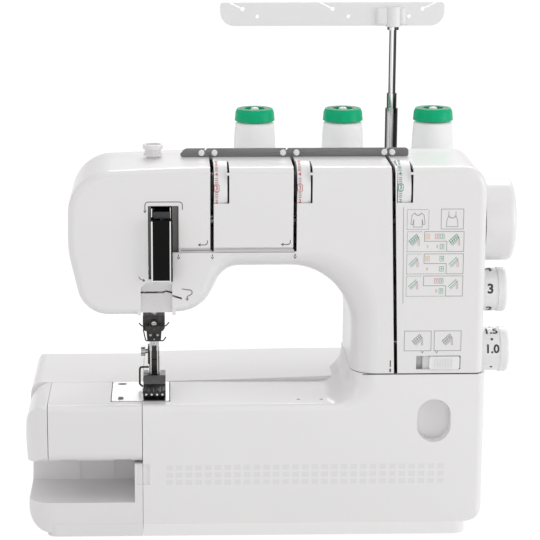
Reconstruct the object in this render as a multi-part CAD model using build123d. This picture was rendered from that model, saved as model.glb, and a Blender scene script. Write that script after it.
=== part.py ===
from build123d import *
import math
import os

# Cover-stitch serger, free standing. Millimetres, +X right, +Y to the back, +Z up.
# The origin is on the table, under the middle of the machine's box.

# Overall
FRONT_Y = -100.0
ARM_REAR_Y = 0.0
BED_REAR_Y = 69.0
SEAM_Y = -30.0
SEAM_GAP = 0.3
SEAM_SHADOW = 0.7
WALL = 2.6

# Bed and base
BED_TOP_Z = 110.0
BED_EDGE_R = 5.0
DECK_RISE = 4.0
PLINTH_TOP_Z = 11.0
BASE_CORNER_R = 14.0
CASTING_FOOT_Z = 20.0
PLINTH_BOTTOM_Z = 0.8
PLINTH_FRONT_Y = -100.8
PLINTH_REAR_Y = BED_REAR_Y - 1.5
BASE_RIGHT_X = 172.5
BASE_LEFT_X = -194.5
TABLE_SPLIT_X = -101.5
PLINTH_LEFT_X = -179.0
PLINTH_RIGHT_X = 159.5
COLUMN_SEAM_Z = 135.0
ROOT_FILLET = 22.0
FOOT_PLACES = [(x, y) for x in (-84, 138) for y in (-80, 38)]
FRAME_POSTS = [(x, y) for x in (-80, 120) for y in (-24, 20)]

# Free arm and the gap below it
ARM_END_X = -196.0
END_CAP_X = -177.3
END_LOW_Z = 4.0
ARM_FLOOR_Z = 62.0
SHELF_TOP_Z = 29.0
GAP_BACK_Y = -41.0
GAP_RIGHT_X = -112.0
TONGUE_Y = (-10.0, 40.0)
COVER_EDGE_Y = -93.0
COVER_LIP_Y = -96.0
COVER_PIVOT_Y = -92.5
COVER_PIVOT_Z = 69.5

# Head, arm and column
HEAD_LEFT_X = -159.0
HEAD_BOTTOM_Z = 184.5
ARM_UNDER_Z = 221.0
ARM_TOP_Z = 302.0
HEAD_DROP = 3.5
COLUMN_LEFT_X = 65.5
COLUMN_RIGHT_X = 170.0
FRONT_EDGE_R = 6.0
REAR_EDGE_R = 12.0
FLARE_DEPTH = 20.0
FLARE_STEPS = 5
FOOT_DEPTHS = (0.0, 0.6, 1.6, 3.2, 5.0, 8.0, 12.0, 16.0, 20.0)
NOTCH_X = (-102.0, -77.1)
NOTCH_TOP_Z = 211.0
NOTCH_BACK_Y = -90.0

# Needle plate
PLATE_LEFT_X = -126.4
PLATE_RIGHT_X = -79.9
PLATE_FRONT_Y = -87.0
PLATE_REAR_Y = -31.5
PLATE_T = 3.0
FEED_ROWS = (-6.0, 0.0, 6.0)
DIFF_FEED_Y = (-76.0, -64.0)
MAIN_FEED_Y = (-52.0, -40.0)

# Shafts and bars
SHAFT_Y = -57.0
SHAFT_Z = 252.0
SHAFT_R = 5.0
RUN_FIT = 0.05
LOWER_SHAFT_Z = 58.0
NEEDLE_X = -92.0
NEEDLE_BAR_R = 3.0
CRANK_R = 14.0
ROD_LENGTH = 37.0
PRESSER_Y = -43.0
PRESSER_BAR_R = 3.5
LIFTER_Y = -33.0
LIFTER_Z = 204.0
FOOT_PIN_Y = -47.0
FOOT_PIN_Z = 120.0
NEEDLES_X = (NEEDLE_X - 2.8, NEEDLE_X + 2.8)
COLLAR_Z = SHAFT_Z + CRANK_R - ROD_LENGTH
CASTING_Y = (-28.0, -14.0)
FRAME_HEAD_Z = HEAD_BOTTOM_Z + WALL + 1.3
ROCKER_X = -60.0
ROCKER_Z = 66.0
ROCKER_R = 4.0

# Places and pulleys along the shafts
CRANK_X = (-78.0, -70.0)
TIMING_X = (112.0, 124.0)
TIMING_R = 16.0
TIMING_TEETH = 20
DRIVE_X = (134.0, 144.0)
DRIVE_R = 26.0
MOTOR_Y = 12.0
MOTOR_Z = 64.0
MOTOR_PULLEY_R = 7.0
BELT_T = 1.8
BELT_CLEAR = 0.35
UPPER_LUGS = (-61.0, 35.0, 150.0)
LOWER_LUGS = (-31.0, 105.0)
BUSH_R = 8.0
BUSH_L = 10.0
SPINDLE_R = 4.0
AXLE_R = 2.5

# Thread path
SLOT_W = 2.8
SLOT_X = (-45.8, 19.2, 97.8)
SLOT_BOTTOM_Z = 235.5
LONG_SLOT = ((95.2, 320.0), (100.9, 120.0))
DIAL_W = 10.4
DIAL_R = 21.0
DIAL_Y = -79.5
DIAL_Z = 283.0
GUIDE_DISC_X = (-53.1, -42.7, 12.2, 23.0, 93.5, 99.9)

# Right-hand controls
SIDE_DIAL_R = 18.0
SIDE_DIAL_RIM = 7.0
SIDE_DIAL_X = BASE_RIGHT_X + 0.5
LENGTH_DIAL_Z = 194.0
FEED_DIAL_Z = 144.0
WHEEL_R = 33.0
WHEEL_X = (171.4, 195.9)

# Thread stand
POLE_X = 113.5
POLE_Y = 82.0
SPOOL_X = (-6.0, 69.0, 146.0)
SPOOL_Y = 55.0
TRAY_TOP_Z = 261.0
GUIDE_BAR_TOP_Z = 413.0
TRAY = (-40.0, 174.0, 14.0, 107.0)
SPOOL_TOP_Z = 326.0


def box(x0, x1, y0, y1, z0, z1):
    middle = ((x0 + x1) / 2, (y0 + y1) / 2, (z0 + z1) / 2)
    return Pos(*middle) * Box(x1 - x0, y1 - y0, z1 - z0)


def rod_x(x0, x1, y, z, r):
    return Pos((x0 + x1) / 2, y, z) * Rot(0, 90, 0) * Cylinder(r, x1 - x0)


def rod_y(y0, y1, x, z, r):
    return Pos(x, (y0 + y1) / 2, z) * Rot(90, 0, 0) * Cylinder(r, y1 - y0)


def rod_z(z0, z1, x, y, r):
    return Pos(x, y, (z0 + z1) / 2) * Cylinder(r, z1 - z0)


def front_face(points, radii, y):
    """A closed face in the front view, from corners (x, z) and one radius for each corner."""
    ring = FilletPolyline(*[(x, y, z) for x, z in points], radius=radii, close=True)
    return make_face(ring)


def front_prism(face, y0, y1):
    """The face, drawn at y0, pulled back to y1."""
    return extrude(face, amount=y1 - y0, dir=(0, 1, 0))


def side_prism(points, radii, x0, x1):
    """A closed outline in the side view, corners (y, z), pulled from x0 to x1."""
    ring = FilletPolyline(*[(x0, y, z) for y, z in points], radius=radii, close=True)
    return extrude(make_face(ring), amount=x1 - x0, dir=(1, 0, 0))


def plan_prism(points, radii, z0, z1):
    """A closed outline in plan, corners (x, y), pulled from z0 to z1."""
    ring = FilletPolyline(*[(x, y, z0) for x, y in points], radius=radii, close=True)
    return extrude(make_face(ring), amount=z1 - z0, dir=(0, 0, 1))


def front_edges(solid, y):
    """Edges that lie in the plane at y."""
    return solid.edges().filter_by_position(Axis.Y, y - 0.01, y + 0.01)


def upper_block(inset, y0, y1):
    """Head, arm and column above the column seam, with the throat open."""
    points = [
        (COLUMN_RIGHT_X - inset, COLUMN_SEAM_Z + SEAM_SHADOW),
        (COLUMN_RIGHT_X - inset, ARM_TOP_Z - inset),
        (-66, ARM_TOP_Z - inset),
        (HEAD_LEFT_X + 1 + inset, ARM_TOP_Z - HEAD_DROP - inset),
        (HEAD_LEFT_X + inset, 236),
        (-147 + inset, HEAD_BOTTOM_Z + inset),
        (-54.6 - inset, HEAD_BOTTOM_Z + inset),
        (-35.4 - inset, ARM_UNDER_Z + inset),
        (COLUMN_LEFT_X + inset, ARM_UNDER_Z + inset),
        (COLUMN_LEFT_X + inset, COLUMN_SEAM_Z + SEAM_SHADOW),
    ]
    radii = [0.0, 18 - inset, 300, 34 - inset, 90, 25 - inset, 28 - inset, 19 + inset, 50 + inset, 0.0]
    return front_prism(front_face(points, radii, y0), y0, y1)


def throat_flare(grow):
    """The flared mouth of the throat: wide and round on the column, small under the arm."""
    sections = []
    for step in range(FLARE_STEPS):
        depth = FLARE_DEPTH * step / (FLARE_STEPS - 1)
        share = 1 - math.sqrt(1 - (1 - depth / FLARE_DEPTH) ** 2)
        under = ARM_UNDER_Z + 15 * share + grow
        lip = HEAD_BOTTOM_Z + 6.5 * share + grow
        flank = COLUMN_LEFT_X + 20 * share + grow
        points = [
            (-90, 130),
            (-90, lip),
            (-54.6 - 5 * share - grow, lip),
            (-35.4 - 7 * share - grow, under),
            (flank, under),
            (flank, 130),
        ]
        radii = [0.0, 0.0, 28 - grow, 19 + grow, 50 + grow, 0.0]
        sections.append(front_face(points, radii, FRONT_Y + depth * (1 + grow / FLARE_DEPTH)))
    return loft(sections)


def not_on_seam(edges):
    """Edges that are clear of the open bottom of the column."""
    return [edge for edge in edges if abs(edge.center().Z - COLUMN_SEAM_Z - SEAM_SHADOW) > 0.1]


def upper_housing():
    """Rounded shell of head, arm and column, still in one piece."""
    outer = upper_block(0, FRONT_Y, ARM_REAR_Y)
    outer = fillet(not_on_seam(front_edges(outer, FRONT_Y)), FRONT_EDGE_R)
    outer = fillet(not_on_seam(front_edges(outer, ARM_REAR_Y)), REAR_EDGE_R)
    outer -= throat_flare(0)
    inner = upper_block(WALL, FRONT_Y + WALL, ARM_REAR_Y - WALL)
    inner = fillet(not_on_seam(front_edges(inner, FRONT_Y + WALL)), FRONT_EDGE_R - WALL)
    inner = fillet(not_on_seam(front_edges(inner, ARM_REAR_Y - WALL)), REAR_EDGE_R - WALL)
    inner -= throat_flare(WALL)
    return outer - inner


def behind(y):
    return box(-250, 250, y, 250, -10, 450)


def before(y):
    return box(-250, 250, -250, y, -10, 450)


def thread_slots():
    """Two short slots that end in the groove and the long one that parts the column cover."""
    cuts = []
    for x in SLOT_X[:2]:
        cuts.append(box(x - SLOT_W / 2, x + SLOT_W / 2, FRONT_Y - 1, -46, SLOT_BOTTOM_Z, 320))
    return cuts


def dial_windows():
    """Openings right of each slot that wrap over the top front edge."""
    cuts = []
    for x in SLOT_X:
        left = x + SLOT_W / 2 - 0.5
        cuts.append(box(left, left + DIAL_W + 2.2, FRONT_Y - 1, -72, 274, 320))
        cuts.append(rod_x(left, left + DIAL_W + 2.2, DIAL_Y, DIAL_Z, DIAL_R + 0.5))
    return cuts


def arm_covers():
    """Front cover, column cover and rear cover, with every opening cut."""
    shell = upper_housing()
    front = shell & before(SEAM_Y - SEAM_GAP / 2)
    rear = shell & behind(SEAM_Y + SEAM_GAP / 2)
    for cut in thread_slots() + dial_windows():
        front -= cut
    # horizontal thread groove, pressed half way into the wall
    front -= box(-76, SLOT_X[1], FRONT_Y - 1, FRONT_Y + 2.0, 234.7, 239)
    # take-up opening and, below it, the notch that leads the threads to the needles
    front -= box(-95.8, -71.9, FRONT_Y - 1, -80, 235, 272.4)
    front -= box(-95.8, -77.0, FRONT_Y - 1, -80, NOTCH_TOP_Z + WALL, 272.4)
    front += head_notch(WALL) & upper_block(0, FRONT_Y + 0.5, ARM_REAR_Y)
    front -= head_notch(0)
    slit = front_face([(-106, 200), (-84.3, 200), (-82.2, 201.2), (-69.6, 197.2), (-69.6, 198.8),
                       (-81.8, 202.8), (-85, 201.6), (-106, 201.6)], [0.0] * 8, FRONT_Y - 1)
    front -= front_prism(slit, FRONT_Y - 1, -84)
    # needle bar, presser bar and lifter pass through the head's floor
    front -= rod_z(175, 190, NEEDLE_X, SHAFT_Y, 9)
    front -= box(NEEDLE_X - 9, NEEDLE_X + 9, -62, -32, 175, 190)
    # pressure knob
    front -= rod_z(290, 310, NEEDLE_X, PRESSER_Y, 5.2)
    # selector slot in the column cover
    front -= box(116.6, 152, FRONT_Y - 1, FRONT_Y + 4, 138.7, 150)
    # side dials and handwheel shaft on the right flank
    for z, r in ((LENGTH_DIAL_Z, 6.0), (FEED_DIAL_Z, 6.0), (SHAFT_Z, 8.0)):
        front -= rod_x(160, 180, SHAFT_Y, z, r)
    # foot lifter slot at the back of the head
    rear -= box(NEEDLE_X - 5, NEEDLE_X + 5, -20, 5, 193, 222)
    # the tray's two tongues and the pole's foot come through the back
    rear -= box(-44, -4, -5, 5, 249, 259.5)
    rear -= box(112, 152, -5, 5, 249, 259.5)
    return front - right_of_slot(-SLOT_W / 2), front & right_of_slot(SLOT_W / 2), rear


def right_of_slot(shift):
    """Everything to the right of the long slot's middle line, which leans a little."""
    (top_x, top_z), (low_x, low_z) = LONG_SLOT
    points = [(top_x + shift, top_z), (300, top_z), (300, low_z), (low_x + shift, low_z)]
    return front_prism(front_face(points, [0.0] * 4, -150), -150, 20)


def head_notch(grow):
    """Notch in the head's lower front: an upright back wall under a sloping ceiling."""
    outline = [(NOTCH_X[0] - grow, 160), (NOTCH_X[0] - grow, NOTCH_TOP_Z - 3.7 + grow),
               (NOTCH_X[0] + 5.2 - grow, NOTCH_TOP_Z + grow), (NOTCH_X[1] + grow, NOTCH_TOP_Z + grow),
               (NOTCH_X[1] + grow, 160)]
    depth = side_prism(
        [(FRONT_Y - 1, 160), (NOTCH_BACK_Y + grow, 160), (NOTCH_BACK_Y + grow, 201 + grow),
         (FRONT_Y - 1, NOTCH_TOP_Z + 1 + grow)],
        [0.0] * 4, -110, -70)
    return front_prism(front_face(outline, [0.0] * 5, FRONT_Y - 1), FRONT_Y - 1, NOTCH_BACK_Y + 5) & depth


def base_block(inset):
    """Bed and column foot as one rounded block, shrunk by inset."""
    left = TABLE_SPLIT_X + SEAM_GAP / 2 + (0 if inset == 0 else WALL)
    front_y = FRONT_Y + inset
    rear_y = BED_REAR_Y - inset
    right = BASE_RIGHT_X - inset
    top = BED_TOP_Z - inset
    body = front_face([(left, PLINTH_TOP_Z), (right, PLINTH_TOP_Z), (right, top), (left, top)],
                      [0.0, BASE_CORNER_R - inset, 0.0, 0.0], front_y)
    body = front_prism(body, front_y, rear_y)
    plan = plan_prism([(left, front_y), (right, front_y), (right, rear_y), (left, rear_y)],
                      [0.0, 6.0 - inset, 18.0 - inset, 0.0], 0, COLUMN_SEAM_Z)
    side = side_prism([(front_y, 0), (rear_y, 0), (rear_y, top), (front_y, top)],
                      [0.0, 0.0, 12.0 - inset, BED_EDGE_R - inset], left, BASE_RIGHT_X)
    body = body & plan & side
    # the deck behind the parting line rises towards the column
    deck = front_face([(left + 12, top - 10), (right, top - 10), (right, top + DECK_RISE),
                       (COLUMN_LEFT_X, top + DECK_RISE), (left + 12, top)], [0.0] * 5, SEAM_Y + inset)
    deck = front_prism(deck, SEAM_Y + inset, rear_y)
    deck &= side_prism([(SEAM_Y + inset, 0), (rear_y, 0), (rear_y, top + DECK_RISE),
                        (SEAM_Y + inset, top + DECK_RISE)],
                       [0.0, 0.0, 12.0 - inset, 3.0 if inset == 0 else 0.5], left, BASE_RIGHT_X)
    body += deck & plan
    foot_left = COLUMN_LEFT_X - ROOT_FILLET - 1
    foot = plan_prism([(foot_left, front_y), (right, front_y), (right, ARM_REAR_Y - inset),
                       (foot_left, ARM_REAR_Y - inset)],
                      [0.0, 6.0 - inset, 16.0 - inset, 0.0], PLINTH_TOP_Z + 30, COLUMN_SEAM_Z)
    return body + (foot - throat_foot(inset))


def base_shells():
    """Front and rear shells of the main base; both are open underneath."""
    shell = base_block(0) - base_block(WALL)
    # grip recess at the front right
    grip = plan_grip(0)
    shell += plan_grip(WALL) & base_block(0)
    shell -= grip
    # finger notch that reaches over the table's seam
    shell -= box(-110, -96, FRONT_Y - 1, FRONT_Y + 1.4, 44, 61)
    shell -= plate_opening()
    shell -= box(-105, -98, FRONT_Y + 6, SEAM_Y - 4, ARM_FLOOR_Z + 4, 106)
    for y in TONGUE_Y:
        shell -= box(-105, -94, y - 5.4, y + 5.4, 49.6, 54.4)
    for x in (24.2, 42.7):
        shell -= rod_z(105, 115, x, -84.3, 1.6)
    front = shell & before(SEAM_Y - SEAM_GAP / 2)
    rear = shell & behind(SEAM_Y + SEAM_GAP / 2)
    # mains inlet and switch on the right flank
    rear -= box(160, 180, 8, 36, 40, 62)
    rear -= box(160, 180, 14, 30, 67.6, 94.4)
    return front, rear


def throat_foot(grow):
    """The throat's space above the bed: its flare runs down the column and into the bed's front edge."""
    def section(share, drop, y):
        flank = COLUMN_LEFT_X + FLARE_DEPTH * share + grow
        floor = BED_TOP_Z - drop - grow
        points = [(0, floor), (flank, floor), (flank, COLUMN_SEAM_Z + 2), (0, COLUMN_SEAM_Z + 2)]
        return front_face(points, [0.0, ROOT_FILLET + grow, 0.0, 0.0], y)
    faces = []
    for depth in FOOT_DEPTHS:
        share = 1 - math.sqrt(1 - (1 - depth / FLARE_DEPTH) ** 2)
        edge = max(0.0, BED_EDGE_R - depth)
        drop = BED_EDGE_R - math.sqrt(BED_EDGE_R ** 2 - edge ** 2)
        faces.append(section(share, drop, FRONT_Y + depth * (1 + grow / FLARE_DEPTH)))
    mouth_y = FRONT_Y + FLARE_DEPTH + grow
    return loft(faces) + front_prism(section(0, 0, mouth_y), mouth_y, ARM_REAR_Y + 1)


def plan_grip(grow):
    """Oval pocket of the grip, drawn in the front view."""
    hole = SlotOverall(36 + 2 * grow, 27 + 2 * grow, rotation=90)
    face = Plane(origin=(132, FRONT_Y, 96), x_dir=(1, 0, 0), z_dir=(0, 1, 0)) * hole
    pocket = extrude(face, amount=12 + grow)
    if grow == 0:
        pocket += extrude(face, amount=-2)
    return pocket


def plate_opening():
    gap = 0.7
    return box(PLATE_LEFT_X - gap, PLATE_RIGHT_X + gap, PLATE_FRONT_Y - gap, PLATE_REAR_Y + gap, 100, 115)


def left_end(inset, x1, y, corner):
    """Front view of the bed's bulging left end, closed off at x1; corner rounds its top."""
    points = [
        (x1, END_LOW_Z),
        (BASE_LEFT_X + inset, END_LOW_Z),
        (BASE_LEFT_X + 1.5 + inset, 48),
        (ARM_END_X + inset, 80),
        (ARM_END_X + 2 + inset, BED_TOP_Z - inset),
        (x1, BED_TOP_Z - inset),
    ]
    return front_face(points, [0.0, 18.0 - inset, 30.0, 30.0, corner - inset, 0.0], y)


def arm_section(inset, x0, x1):
    """Side view of the free arm: rounded below, tight at the top."""
    rear = SEAM_Y - SEAM_GAP / 2 - inset
    front = FRONT_Y + inset
    low = ARM_FLOOR_Z + inset
    high = BED_TOP_Z - inset
    points = [(front, low), (rear, low), (rear, high), (front, high)]
    radii = [max(0.5, radius - inset) for radius in (9.0, 5.0, inset, BED_EDGE_R)]
    return side_prism(points, radii, x0, x1)


def free_arm():
    """Arm shell, bulging end cap and the looper cover that swings down at the front."""
    x0 = END_CAP_X + SEAM_GAP / 2
    x1 = TABLE_SPLIT_X - SEAM_GAP / 2
    shell = arm_section(0, x0, x1) - arm_section(WALL, x0 - 1, x1 + 1)
    body = shell & box(x0, x1, -84.0, 0, 0, 90)
    body += shell & box(x0, x1, COVER_EDGE_Y + SEAM_GAP, 0, 90, 120)
    body -= plate_opening()
    cover = shell & box(x0 + 0.2, x1 - 0.2, FRONT_Y - 1, COVER_EDGE_Y, 80, 120)
    cover += shell & box(x0 + 0.2, x1 - 0.2, FRONT_Y - 1, COVER_LIP_Y, 0, 90)
    for x in (x0 + 16, x1 - 16):
        cover -= box(x - 7, x + 7, FRONT_Y + WALL, COVER_LIP_Y + 1, 60, COVER_PIVOT_Z)
        cover += box(x - 2, x + 2, FRONT_Y + 1, COVER_PIVOT_Y + 2.5,
                     COVER_PIVOT_Z - 2.5, COVER_PIVOT_Z + 2.5)
        cover += rod_x(x - 6, x + 6, COVER_PIVOT_Y, COVER_PIVOT_Z, 1.4)
        for side in (-4.2, 4.2):
            lug = box(x + side - 1.5, x + side + 1.5, COVER_PIVOT_Y - 2.5, -78,
                      COVER_PIVOT_Z - 2.5, COVER_PIVOT_Z + 2.5)
            lug += box(x + side - 1.5, x + side + 1.5, -83.5, -78, ARM_FLOOR_Z + 1, COVER_PIVOT_Z)
            body += lug - rod_x(x - 10, x + 10, COVER_PIVOT_Y, COVER_PIVOT_Z, 1.4 + RUN_FIT)
    # finger rib inside the cover's top edge
    cover += box(x0 + 30, x1 - 30, FRONT_Y + 1, FRONT_Y + 6, 92, 94)
    plan = plan_prism(
        [(END_CAP_X + 9, FRONT_Y), (ARM_END_X, FRONT_Y), (ARM_END_X, 40), (END_CAP_X + 9, 40)],
        [0.0, 22.0, 0.0, 0.0], 0, 140)
    end_x = END_CAP_X - SEAM_GAP / 2
    outer = arm_section(0, ARM_END_X - 5, end_x) & plan
    outer &= front_prism(left_end(0, -150, FRONT_Y, 18.0), FRONT_Y, SEAM_Y)
    inner = arm_section(WALL, ARM_END_X - 5, end_x + 1)
    inner &= front_prism(left_end(WALL, -150, FRONT_Y, 18.0), FRONT_Y, SEAM_Y)
    plan_in = plan_prism(
        [(END_CAP_X + 9, FRONT_Y + WALL), (ARM_END_X + WALL, FRONT_Y + WALL),
         (ARM_END_X + WALL, 40), (END_CAP_X + 9, 40)],
        [0.0, 22.0 - WALL, 0.0, 0.0], 0, 140)
    cap = outer - (inner & plan_in)
    # spigot that plugs into the arm shell
    sleeve = arm_section(WALL, end_x - 4, END_CAP_X + 6) - arm_section(2 * WALL, end_x - 5, END_CAP_X + 7)
    cap += sleeve & box(-250, 0, -86, SEAM_Y - 6, 72, 107.4)
    return body, cap, cover


def table_block(inset):
    """Extension table that wraps behind and under the free arm, shrunk by inset."""
    x1 = TABLE_SPLIT_X - SEAM_GAP / 2 - inset
    clear = 0.5
    full = front_prism(left_end(inset, x1, FRONT_Y + inset, 9.0), FRONT_Y + inset, BED_REAR_Y - inset)
    rear_y = SEAM_Y + SEAM_GAP / 2 + inset
    arm_space = box(-250, 0, -250, rear_y, ARM_FLOOR_Z - clear - inset, 200)
    gap = box(-250, GAP_RIGHT_X + 4 + inset, -250, GAP_BACK_Y + inset, SHELF_TOP_Z - inset, 100)
    side = side_prism(
        [(FRONT_Y + inset, 0), (BED_REAR_Y - inset, 0), (BED_REAR_Y - inset, BED_TOP_Z - inset),
         (FRONT_Y + inset, BED_TOP_Z - inset)],
        [0.0, 0.0, 12.0 - inset, 0.0], -250, 0)
    plan = plan_prism(
        [(0, FRONT_Y + inset), (ARM_END_X + inset, FRONT_Y + inset),
         (ARM_END_X + inset, BED_REAR_Y - inset), (0, BED_REAR_Y - inset)],
        [0.0, 22.0 - inset, 15.0 - inset, 0.0], 0, 140)
    return (full & side & plan) - arm_space - gap


def extension_table():
    shell = table_block(0) - table_block(WALL)
    # ribs on the gap's back wall
    for x in (-155, -127):
        shell += box(x - 1, x + 1, GAP_BACK_Y - 0.8, GAP_BACK_Y + 1, SHELF_TOP_Z, ARM_FLOOR_Z - 0.5)
    shell -= box(-106, -96, FRONT_Y - 1, FRONT_Y + 1.4, 44, 61)
    x1 = TABLE_SPLIT_X - SEAM_GAP / 2
    plinth = plan_prism(
        [(x1, PLINTH_FRONT_Y), (PLINTH_LEFT_X, PLINTH_FRONT_Y), (PLINTH_LEFT_X, PLINTH_REAR_Y),
         (x1, PLINTH_REAR_Y)],
        [0.0, 8.0, 8.0, 0.0], PLINTH_BOTTOM_Z, PLINTH_TOP_Z)
    hollow = plan_prism(
        [(x1 - 3, PLINTH_FRONT_Y + 3), (PLINTH_LEFT_X + 3, PLINTH_FRONT_Y + 3),
         (PLINTH_LEFT_X + 3, PLINTH_REAR_Y - 3), (x1 - 3, PLINTH_REAR_Y - 3)],
        [0.0, 5.0, 5.0, 0.0], PLINTH_BOTTOM_Z - 1, PLINTH_TOP_Z - 3)
    table = shell + (plinth - hollow)
    # two tongues that hold the table to the base
    for y in TONGUE_Y:
        table += box(x1 - 2, x1 + 5, y - 5, y + 5, 50, 54)
    return table


def base_plate():
    """Plinth tray under the main base, with posts for the casting."""
    x0 = TABLE_SPLIT_X + SEAM_GAP / 2
    outer = plan_prism(
        [(x0, PLINTH_FRONT_Y), (PLINTH_RIGHT_X, PLINTH_FRONT_Y), (PLINTH_RIGHT_X, PLINTH_REAR_Y),
         (x0, PLINTH_REAR_Y)],
        [0.0, 10.0, 10.0, 0.0], PLINTH_BOTTOM_Z, PLINTH_TOP_Z)
    inner = plan_prism(
        [(x0 + 4, -94.5), (146, -94.5), (146, PLINTH_REAR_Y - 8), (x0 + 4, PLINTH_REAR_Y - 8)],
        [0.0, 7.0, 7.0, 0.0], PLINTH_BOTTOM_Z + 3, PLINTH_TOP_Z + 1)
    plate = outer - inner
    for x in range(-60, 141, 50):
        plate += box(x - 1, x + 1, -95, PLINTH_REAR_Y - 7.5, PLINTH_BOTTOM_Z + 2, PLINTH_TOP_Z - 4)
    for x, y in FOOT_PLACES:
        plate += rod_z(PLINTH_BOTTOM_Z, PLINTH_TOP_Z - 4, x, y, 10)
        plate -= rod_z(PLINTH_BOTTOM_Z - 1, PLINTH_BOTTOM_Z + 4, x, y, 8.1)
    for x, y in FRAME_POSTS:
        plate += rod_z(PLINTH_BOTTOM_Z + 2, CASTING_FOOT_Z, x, y, 7)
    return plate


def rubber_feet():
    feet = []
    for x, y in FOOT_PLACES:
        foot = rod_z(0, PLINTH_BOTTOM_Z + 4, x, y, 8)
        foot = chamfer(foot.edges().sort_by(Axis.Z)[0], 1.2)
        feet.append(foot)
    return Compound(children=feet)


def needle_plate():
    """Steel plate with needle slot, stitch fingers and rows of feed-dog windows."""
    plate = plan_prism(
        [(PLATE_LEFT_X, PLATE_FRONT_Y), (PLATE_RIGHT_X, PLATE_FRONT_Y), (PLATE_RIGHT_X, PLATE_REAR_Y),
         (PLATE_LEFT_X, PLATE_REAR_Y)],
        [2.0, 2.0, 2.0, 2.0], BED_TOP_Z - PLATE_T + 0.4, BED_TOP_Z + 0.4)
    plate -= box(NEEDLE_X - 5, NEEDLE_X + 5, SHAFT_Y - 1.2, SHAFT_Y + 1.2, 90, 120)
    for x in FEED_ROWS:
        for y0, y1 in (DIFF_FEED_Y, MAIN_FEED_Y):
            plate -= box(NEEDLE_X + x - 1.3, NEEDLE_X + x + 1.3, y0 - 3.2, y1 + 3.2, 90, 120)
    # slotted screw hole at the rear left and a round one at the front left
    plate -= Pos(-118.6, -38, 110) * extrude(SlotOverall(8, 3), 6, both=True)
    plate -= rod_z(90, 120, -119, -80, 1.6)
    return plate


def machine_frame():
    """Cast frame: a C-shaped web with a bed flange, bearing lugs and guide lugs."""
    y0, y1 = CASTING_Y
    web = front_face(
        [(-96, CASTING_FOOT_Z), (155, CASTING_FOOT_Z), (155, 288), (-135, 288), (-135, FRAME_HEAD_Z),
         (-84, FRAME_HEAD_Z), (-62, 238), (84, 238), (84, 98), (-96, 98)],
        [4.0, 10.0, 16.0, 24.0, 14.0, 6.0, 12.0, 30.0, 16.0, 8.0], y0)
    frame = front_prism(web, y0, y1)
    frame += box(-96, 155, y0, 32, CASTING_FOOT_Z, CASTING_FOOT_Z + 6)
    # windows for the drive belt and the foot lifter, and lightening holes
    frame -= box(129, 149, y0 - 1, y1 + 1, 34, 100)
    frame -= box(NEEDLE_X - 9, NEEDLE_X + 9, y0 - 1, y1 + 1, 196, 234)
    for x, z, r in ((-10, 62, 20), (50, 62, 22), (119, 150, 18), (119, 205, 18)):
        frame -= rod_y(y0 - 1, y1 + 1, x, z, r)
    lug_front = SHAFT_Y - BUSH_R - 3
    half = BUSH_L / 2
    for x in UPPER_LUGS:
        frame += box(x - half, x + half, SHAFT_Y, y0 + 1, SHAFT_Z - 9, SHAFT_Z + 9)
        frame += rod_x(x - half, x + half, SHAFT_Y, SHAFT_Z, SHAFT_Y - lug_front)
        frame -= rod_x(x - half - 1, x + half + 1, SHAFT_Y, SHAFT_Z, BUSH_R)
    for x in LOWER_LUGS:
        frame += box(x - half, x + half, SHAFT_Y, y0 + 1, LOWER_SHAFT_Z - 9, LOWER_SHAFT_Z + 9)
        frame += rod_x(x - half, x + half, SHAFT_Y, LOWER_SHAFT_Z, SHAFT_Y - lug_front)
        frame -= rod_x(x - half - 1, x + half + 1, SHAFT_Y, LOWER_SHAFT_Z, BUSH_R)
    # needle bar and presser bar guides in the head
    for z0, z1 in ((FRAME_HEAD_Z, FRAME_HEAD_Z + 4.5), (239, 246)):
        frame += box(NEEDLE_X - 7, NEEDLE_X + 3.6, SHAFT_Y - 4.6, y0 + 1, z0, z1)
    frame -= rod_z(180, 250, NEEDLE_X, SHAFT_Y, NEEDLE_BAR_R + RUN_FIT)
    frame -= rod_z(180, 250, NEEDLE_X, PRESSER_Y, PRESSER_BAR_R + RUN_FIT)
    # side-dial bearings
    for z in (LENGTH_DIAL_Z, FEED_DIAL_Z):
        frame += box(146, 154, SHAFT_Y - 7, y0 + 1, z - 7, z + 7)
        frame -= rod_x(140, 160, SHAFT_Y, z, SPINDLE_R + RUN_FIT)
    # arms for the tension axles
    for x in SLOT_X:
        frame += box(x - 9, x - 5, DIAL_Y - 6, y0 + 1, DIAL_Z - 6, DIAL_Z + 5)
        frame -= rod_x(x - 10, x - 4, DIAL_Y, DIAL_Z, AXLE_R)
    # looper rocker bearing and the ledge under the feed bars
    frame -= rod_y(y0 - 1, y1 + 1, ROCKER_X, ROCKER_Z, ROCKER_R + RUN_FIT)
    frame += box(-96, -86, -80, y0 + 1, 78, 89.5)
    frame -= box(-97, -85, -79, -63, 70, 84)
    # lifter pivot ears
    for x in (NEEDLE_X - 8, NEEDLE_X + 8):
        frame += box(x - 1.5, x + 1.5, LIFTER_Y - 4, y0 + 1, LIFTER_Z - 4, LIFTER_Z + 4)
    frame -= rod_x(NEEDLE_X - 10, NEEDLE_X + 10, LIFTER_Y, LIFTER_Z, 2.0 + RUN_FIT)
    return frame


def shaft_bushes():
    bushes = []
    half = BUSH_L / 2
    places = [(x, SHAFT_Z) for x in UPPER_LUGS] + [(x, LOWER_SHAFT_Z) for x in LOWER_LUGS]
    for x, z in places:
        ring = rod_x(x - half, x + half, SHAFT_Y, z, BUSH_R)
        bushes.append(ring - rod_x(x - half - 1, x + half + 1, SHAFT_Y, z, SHAFT_R + RUN_FIT))
    return Compound(children=bushes)


def upper_shaft():
    return rod_x(CRANK_X[0], WHEEL_X[1] - 8, SHAFT_Y, SHAFT_Z, SHAFT_R)


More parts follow.
